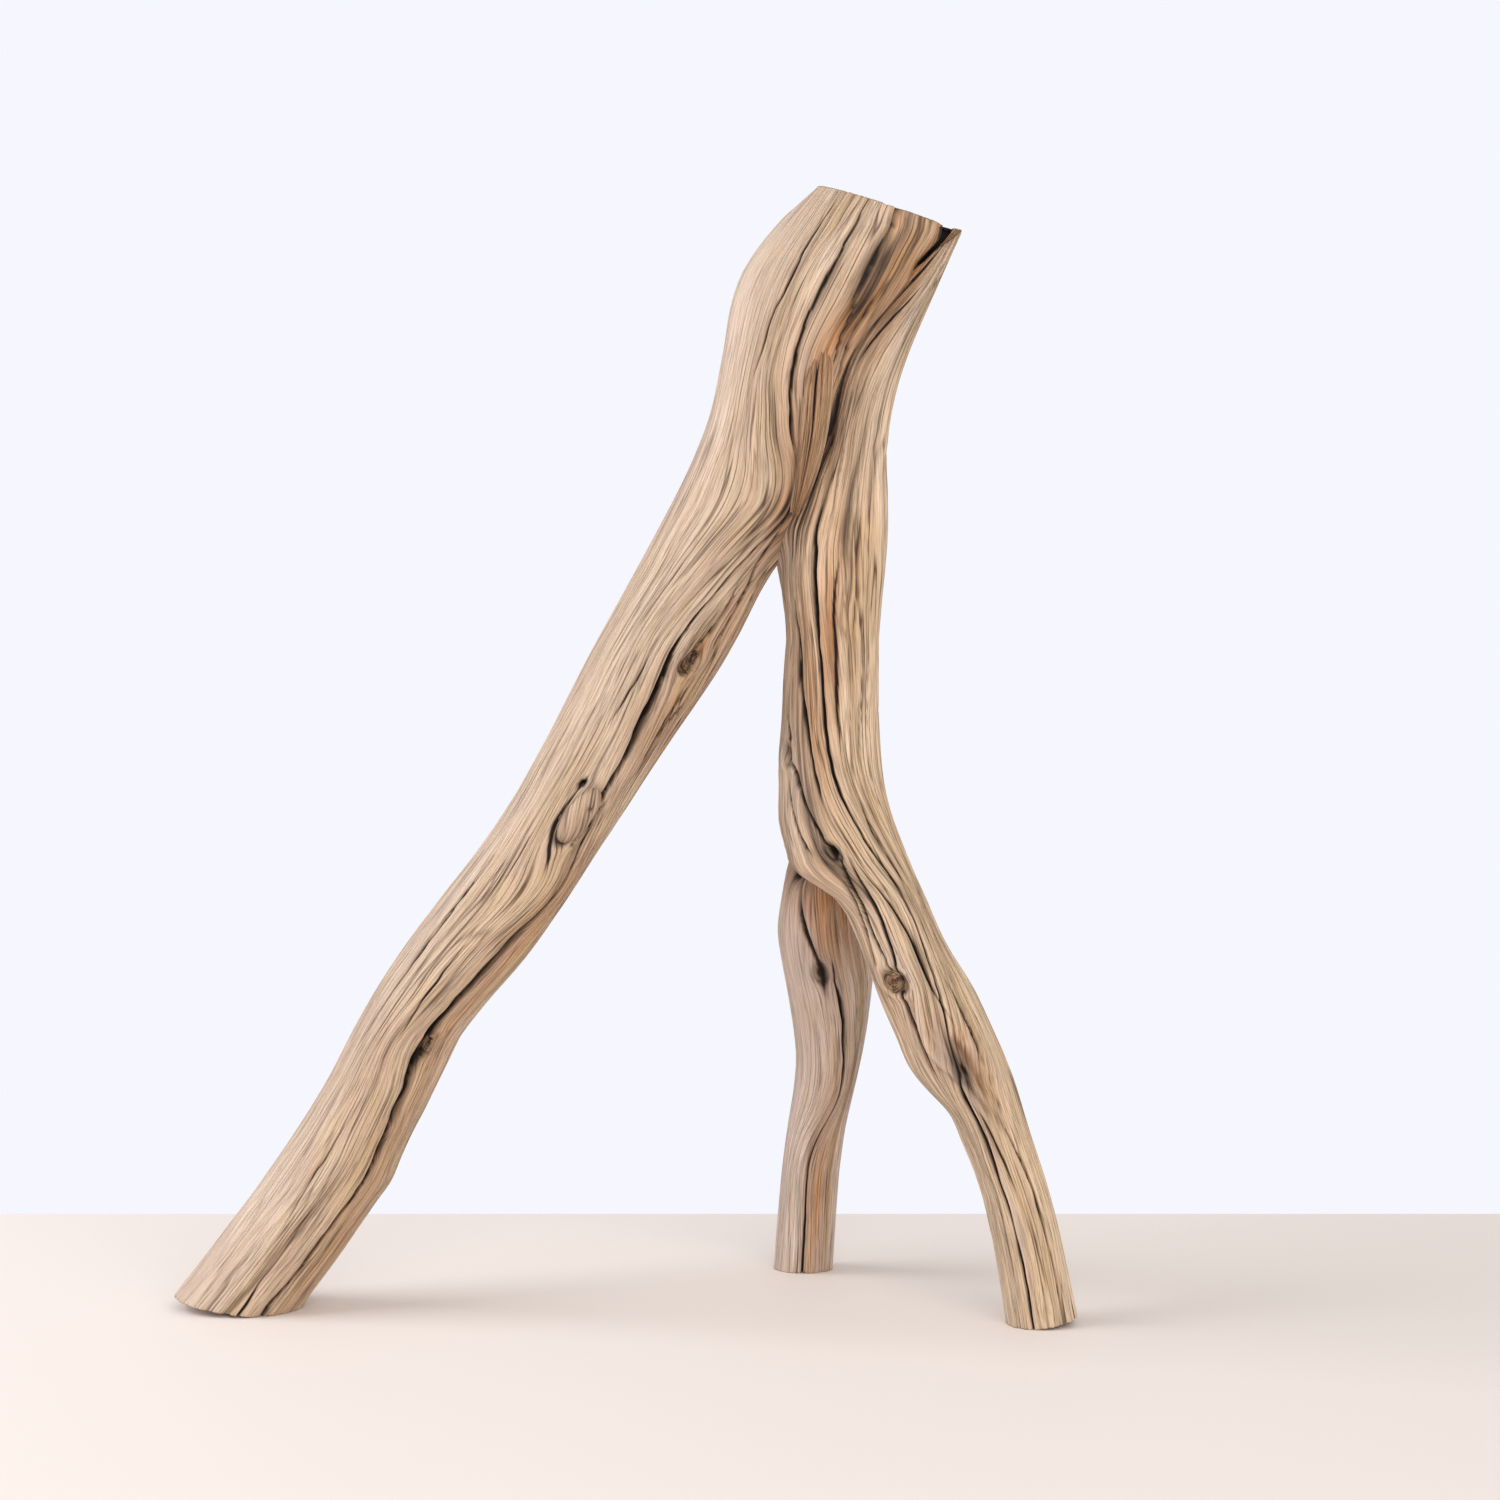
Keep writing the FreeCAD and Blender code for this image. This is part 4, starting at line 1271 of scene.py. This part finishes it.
swirl_skin = twig_end("swirl_knot_wood", "swirl_knot", left, 2.7, 3.3, -0.9, 4.0, 0.35, 500)
pit_skin = twig_end("pit_knot_wood", "pit_knot", left, 2.4, 3.2, -1.8, 3.5, 0.45, 510)
front_skin = twig_end("front_knot_wood", "front_knot", right, 3.3, 3.4, 0.7, 5.0, 0.1, 520)

# %% [markdown]
# ## The stub
# The stub is a dead branch that the left limb has nearly swallowed, so only a wrinkled lump shows.
# Sculpting would suit it, but a spindle along the grain, wrapped in folds that wind round it, gives
# the same wrinkles from a few values.

# %% Stub
STUB_POINTS = 150
STUB_RINGS = 110
POLE_GAP = 0.06             # how far from each pole the rings begin, in radians
WIND = 0.9                  # how far the folds wind from the middle to an end, in radians


def stub(name, node, limb, across, tall, deep, seed):
    """A wrinkled spindle along the grain, wrapped in folds that wind round it."""
    middle, _, out, side, grain = seat(limb, node)
    turn = full_turn(STUB_POINTS)
    rings, grains, darks = [], [], []
    for polar in np.linspace(POLE_GAP, math.pi - POLE_GAP, STUB_RINGS):
        girth = math.sin(polar) ** 0.75
        down = math.cos(polar)
        wound = turn + WIND * down
        fold = noise(2.0 * np.cos(wound), 2.0 * np.sin(wound), down * 1.6, seed)
        crease = bump(fold, 0.10) * np.clip(-np.cos(turn) * 2.0 + 0.4, 0.12, 1)
        lump = girth * (1 + 0.07 * fold - 0.09 * crease)
        ring = middle + grain * (tall * down) + np.outer(across * lump * np.cos(turn), side)
        rings.append(ring + np.outer(deep * lump * np.sin(turn), out))
        wrapped = [5 * np.cos(wound), 5 * np.sin(wound), 0 * turn + tall * down]
        grains.append(np.column_stack(wrapped))
        # painted shade in the creases
        darks.append(0.8 * crease)
    return small_piece(name, rings, grains, darks, 0.2, 0.3)


stub_skin = stub("stub_knot_wood", "stub_knot", left, 4.8, 10.5, 7.2, 530)

# %% [markdown]
# ## Sockets as numbers
# A finish is a graph of nodes.  It could be wired by hand in the shader editor, but a recipe that
# reads like arithmetic is easier to follow.  So a small class wraps a socket, and each sum on it
# adds a Math node.  Every other node comes from one method.


# %% Sockets
class Wire:
    """A socket that can be used in sums as if it were a number."""

    def __init__(self, recipe, socket):
        self.recipe = recipe
        self.socket = socket

    def sum(self, operation, first, second):
        return self.recipe.node("Math", {"operation": operation}, {0: first, 1: second})

    def __add__(self, other):
        return self.sum("ADD", self, other)

    def __radd__(self, other):
        return self.sum("ADD", other, self)

    def __sub__(self, other):
        return self.sum("SUBTRACT", self, other)

    def __rsub__(self, other):
        return self.sum("SUBTRACT", other, self)

    def __mul__(self, other):
        return self.sum("MULTIPLY", self, other)

    def __rmul__(self, other):
        return self.sum("MULTIPLY", other, self)

    def __or__(self, other):
        return self.sum("MAXIMUM", self, other)

    def __abs__(self):
        return self.sum("ABSOLUTE", self, 0.0)


class Recipe:
    """A tree of nodes being made."""

    def __init__(self, tree):
        self.tree = tree

    def node(self, kind, settings, values, out=0):
        """Any node: its type, its settings, then the values or links of its sockets."""
        made = self.tree.nodes.new("ShaderNode" + kind)
        for label, value in settings.items():
            setattr(made, label, value)
        for label, value in values.items():
            self.plug(made.inputs[label], value)
        return Wire(self, made.outputs[out]) if len(made.outputs) else None

    def plug(self, socket, value):
        """Links a wire to a socket, or gives the socket a value."""
        if isinstance(value, Wire):
            self.tree.links.new(value.socket, socket)
        else:
            socket.default_value = value

    def mixed(self, share, first, second):
        """A colour between two colours."""
        return self.node("Mix", {"data_type": "RGBA"}, {0: share, 6: first, 7: second}, 2)


class Finish(Recipe):
    """A material being made, and the surface that its nodes end in."""

    def __init__(self, name):
        self.material = bpy.data.materials.new(name)
        self.material.use_nodes = True
        super().__init__(self.material.node_tree)
        self.surface = self.tree.nodes["Principled BSDF"]

    def finished(self, sockets):
        """The material, once these sockets of its surface are filled."""
        for label, value in sockets.items():
            self.plug(self.surface.inputs[label], value)
        return self.material


print("a recipe can:", [name for name in vars(Recipe) if not name.startswith("_")])

# %% [markdown]
# ## Weathered wood
# Driftwood is pale where sun and sea have bleached it, grey where it is oldest and orange-brown
# where it is sheltered.  Its colour runs in streaks along the grain.  An image texture would have
# to be unwrapped round every fork.  This finish reads the grain attribute instead, so the streaks
# bend with the limbs and their checks.


# %% Tones
def tone(red, green, blue):
    """A colour from the 0 to 255 values that a paint card gives."""
    linear = []
    for value in (red, green, blue):
        share = value / 255
        linear.append(share / 12.92 if share <= 0.04045 else ((share + 0.055) / 1.055) ** 2.4)
    return (*linear, 1.0)


# the colour of the dark attribute: painted shade in checks, seams, hollows, furrows and cracks, and
# real stains
SHADE_AND_STAIN_DARK = tone(38, 24, 16)
# GREY is real greying, and also painted light on the lit side and painted highlight on the crests
GREY = tone(206, 186, 176)
ORANGE = tone(190, 130, 72)
YELLOWED = tone(206, 178, 142)
HAIRLINE = tone(74, 50, 32)
print("a check's dark is", [round(v, 3) for v in SHADE_AND_STAIN_DARK[:3]])

# %% [markdown]
# ### Grain and hair lines
# Two layers of noise give the broad tone, and two finer ones give the streaks and the fibres.  A
# hair line is drawn where a layer crosses its middle value: long ones lie in dark zones, and
# short lashes lie outside them.


# %% Grain
class Wood(Finish):
    """A wood finish: its grain, and the attributes that the skin brought."""

    def __init__(self, name):
        super().__init__(name)
        self.grain = self.node("Attribute", {"attribute_name": "grain"}, {}, "Vector")
        self.broad = self.streaks(9.0, 60.0, 2.0)
        self.blush = self.streaks(6.0, 26.0, 2.0)
        self.streak = self.streaks(0.8, 45.0, 3.0)
        self.fibre = self.streaks(0.28, 7.0, 2.0)
        self.hair = self.held(1 - abs(self.streaks(2.2, 90.0, 1.0) - 0.5) * 24)
        self.lash = self.held(1 - abs(self.streaks(0.9, 28.0, 1.0) - 0.5) * 12)
        self.zone = self.held((self.streaks(3.6, 30.0, 1.0) - 0.44) * 7)

    def streaks(self, across, length, detail):
        """Noise this many millimetres across the grain and along it."""
        squeeze = (1 / across, 1 / across, 1 / length)
        place = self.node("VectorMath", {"operation": "MULTIPLY"}, {0: self.grain, 1: squeeze})
        looks = {"Vector": place, "Scale": 1.0, "Detail": detail, "Roughness": 0.6}
        return self.node("TexNoise", {}, looks)

    def held(self, value):
        """A value held between 0 and 1."""
        return self.node("Clamp", {}, {"Value": value})

    def mark(self, label):
        """One of the skin's attributes."""
        return self.node("Attribute", {"attribute_name": label}, {}, "Fac")

    def growth_rings(self):
        """Rings round the pith, from -1 to 1, bent a little by the broad tone."""
        flat = self.node("VectorMath", {"operation": "MULTIPLY"},
                         {0: self.grain, 1: (1.0, 1.0, 0.0)})
        reach = self.node("VectorMath", {"operation": "LENGTH"}, {0: flat}, "Value")
        return self.node("Math", {"operation": "SINE"}, {0: reach * 4.2 + self.broad * 9.0})


brought = [name for name in ("grain", "dark", "warm", "grey", "cut")
           if name in left_skin.data.attributes]
print("attributes that a skin brings:", brought)

# %% [markdown]
# ### The recipe
# Colours are laid over each other as washes: yellowed, pale, deep, orange, grey (real greying, with
# painted light on the lit side and painted highlight on the crests), hair lines, end grain and at
# last the dark, which is painted shade in checks, seams, hollows and furrows, and real stains.  The
# same layers lift a fine bump, because a fibre that is only painted on looks flat in raking light.

# %% Recipe
DRY = 0.78                  # how rough dry wood is between its fibres
FIBRE_RELIEF = 0.0007       # metres that the finest fibres stand up


def wood(name, pale, middle, deep, paleness):
    """Weathered wood with streaks, hair lines, checks darkened by painted shade, and end grain."""
    look = Wood(name)
    broad, streak, fibre = look.broad, look.streak, look.fibre
    grey, cut = look.mark("grey"), look.mark("cut")
    kept = 1 - 0.7 * grey
    hair = look.hair * look.zone
    lashes = look.lash * (1 - look.zone) * kept * ((fibre - 0.5) * 2.0 + 0.45)
    rings = look.growth_rings()
    washes = [
        ((broad - 0.5) * 2.6 + (streak - 0.5) * 1.4 + paleness, pale),
        ((0.43 - streak) * 2.6 + (fibre - 0.5) * 2.2, deep),
        (look.mark("warm") * ((streak - 0.5) * 2.4 + 0.65), ORANGE),
        (grey * ((streak - 0.5) * 1.6 + 0.6), GREY),
        (hair * kept * 0.95, HAIRLINE),
        (lashes, HAIRLINE),
        (cut * (rings * 0.25 + 0.35), deep),
        (look.mark("dark"), SHADE_AND_STAIN_DARK),
    ]
    colour = look.mixed((look.blush - 0.5) * 5 + 0.5, middle, YELLOWED)
    for share, wash in washes:
        colour = look.mixed(share, colour, wash)
    height = streak * 0.8 + fibre * 0.4 - hair * 0.4 - look.lash * 0.25 + cut * rings * 0.2
    relief = look.node("Bump", {}, {"Strength": 1.0, "Distance": FIBRE_RELIEF, "Height": height})
    return look.finished({"Base Color": colour, "Roughness": fibre * 0.12 + DRY,
                          "Normal": relief})


limb_wood = wood("weathered limb", tone(230, 208, 184), tone(200, 170, 144),
                 tone(134, 100, 70), 0.30)
stem_wood = wood("weathered stem", tone(246, 219, 188), tone(218, 184, 148),
                 tone(140, 98, 60), 0.56)
# paler tones than the other limbs: painted light on a limb that stands in shade; its pinkish tint
# is its own
rear_wood = wood("lightened rear limb", tone(242, 222, 208), tone(220, 194, 174),
                 tone(150, 116, 90), 0.50)
seam_wood = wood("pinkish heartwood", tone(228, 194, 162), tone(204, 164, 128),
                 tone(136, 98, 66), 0.36)
knot_wood = wood("dead knot", tone(206, 184, 162), tone(176, 148, 124),
                 tone(116, 86, 62), 0.36)
print("finishes:", len(bpy.data.materials))

# %% [markdown]
# ## Dressing the frame
# Each skin stands in for one solid.  It rides on the root, because the branch is one grown piece
# and nothing moves.  The solids could be hidden by hand, but then
# nothing would say which skin belongs to which.

# %% Dress the frame
DRESS = [
    (left_skin, "left_limb", limb_wood, "left_wood"),
    (right_skin, "right_limb", stem_wood, "right_wood"),
    (rear_skin, "rear_limb", rear_wood, "rear_wood"),
    (tongue_skin, "seam_tongue", seam_wood, "seam_wood"),
    (stub_skin, "stub_knot", knot_wood, "knot_wood"),
    (swirl_skin, "swirl_knot", knot_wood, "knot_wood"),
    (pit_skin, "pit_knot", knot_wood, "knot_wood"),
    (front_skin, "front_knot", knot_wood, "knot_wood"),
]
for piece, node, material, slot in DRESS:
    piece.data.materials.append(material)
    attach(piece, "root")
    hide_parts(node)
print("dressed", len(DRESS), "nodes")

# %% [markdown]
# ## The table
# The tripod stands on a plain cream table whose far edge shows behind it.  A plane would do for the
# top, but a slab has an edge that catches the light.

# %% Table
TABLE_SIZE = (4.0, 2.134, 0.02)
TABLE_PLACE = (0.0, -0.933, -TABLE_SIZE[2] / 2)
bpy.ops.mesh.primitive_cube_add(size=1.0)
table = bpy.context.object
table.name = "table"
table.scale = TABLE_SIZE
table.location = TABLE_PLACE
cream = Finish("cream table").finished({"Base Color": tone(240, 231, 226), "Roughness": 0.7})
table.data.materials.append(cream)
print("the table's far edge is at y =", round(TABLE_PLACE[1] + TABLE_SIZE[1] / 2, 3))

# %% [markdown]
# ## The room
# The room is even and nearly white.  Walls could be built, but a wall behind the tripod would hide
# it from the back.  So the world gives two backgrounds: a warm, weaker one that lights the wood,
# and a cool, bright one that is only seen directly, in reflections and through clear things.

# %% Room
world = bpy.data.worlds.new("room")
world.use_nodes = True
bpy.context.scene.world = world
world.node_tree.nodes.clear()
room = Recipe(world.node_tree)
by_camera, by_gloss, by_glass = [room.node("LightPath", {}, {}, f"Is {ray} Ray")
                                 for ray in ("Camera", "Glossy", "Transmission")]
room_light = room.node("Background", {}, {"Color": (1.0, 0.97, 0.94, 1.0), "Strength": 0.55})
room_wall = room.node("Background", {}, {"Color": (0.92, 0.93, 0.99, 1.0), "Strength": 1.0})
seen = by_camera | by_gloss | by_glass
room.node("OutputWorld", {}, {
    "Surface": room.node("MixShader", {}, {0: seen, 1: room_light, 2: room_wall})})
print("nodes in the room:", len(world.node_tree.nodes))

# %% [markdown]
# ## Lamps
# A window lamp stands to the left, about level with the tripod, so the left flanks shine and the
# shadows fall to the right.  A larger, warmer lamp fills in from the front.  A sun would be
# simpler, but its shadows have hard edges, and a broad lamp's are soft.


# %% Lamps
def soft_light(name, place, target, size, watts, colour):
    """A square lamp at a place, turned towards a target."""
    lamp = bpy.data.lights.new(name, "AREA")
    lamp.shape = "SQUARE"
    lamp.size = size
    lamp.energy = watts
    lamp.color = colour
    holder = bpy.data.objects.new(name, lamp)
    bpy.context.scene.collection.objects.link(holder)
    holder.location = place
    holder.rotation_euler = (Vector(target) - Vector(place)).to_track_quat("-Z", "Y").to_euler()
    print(name, "is", round((Vector(target) - Vector(place)).length, 2), "m away")


WAIST = (0, 0, 0.12)        # both lamps are turned towards the tripod's waist
soft_light("window", (-1.3, -0.1, 0.8), WAIST, 1.2, 17.5, (0.96, 0.97, 1.0))
soft_light("front fill", (0.5, -1.7, 0.7), WAIST, 1.6, 21.0, (1.0, 0.96, 0.91))

# %% [markdown]
# ## The camera
# The camera stands a metre away at two thirds of the tripod's height and looks down a little.  A
# long lens keeps the legs from spreading more than they do, which a wide one close by would.

# %% Camera
LENS = 84.0                 # millimetres, for a picture 36 wide
EYE = (0.0388, -1.071, 0.228)
DOWN = 3.165                # degrees
eye = bpy.data.cameras.new("camera")
eye.lens = LENS
eye.sensor_width = 36.0
camera = bpy.data.objects.new("camera", eye)
bpy.context.scene.collection.objects.link(camera)
camera.location = EYE
camera.rotation_euler = (math.radians(90 - DOWN), 0, 0)
bpy.context.scene.camera = camera
bpy.context.scene.view_settings.view_transform = "Standard"
print("the camera looks down by", DOWN, "degrees")

# %% [markdown]
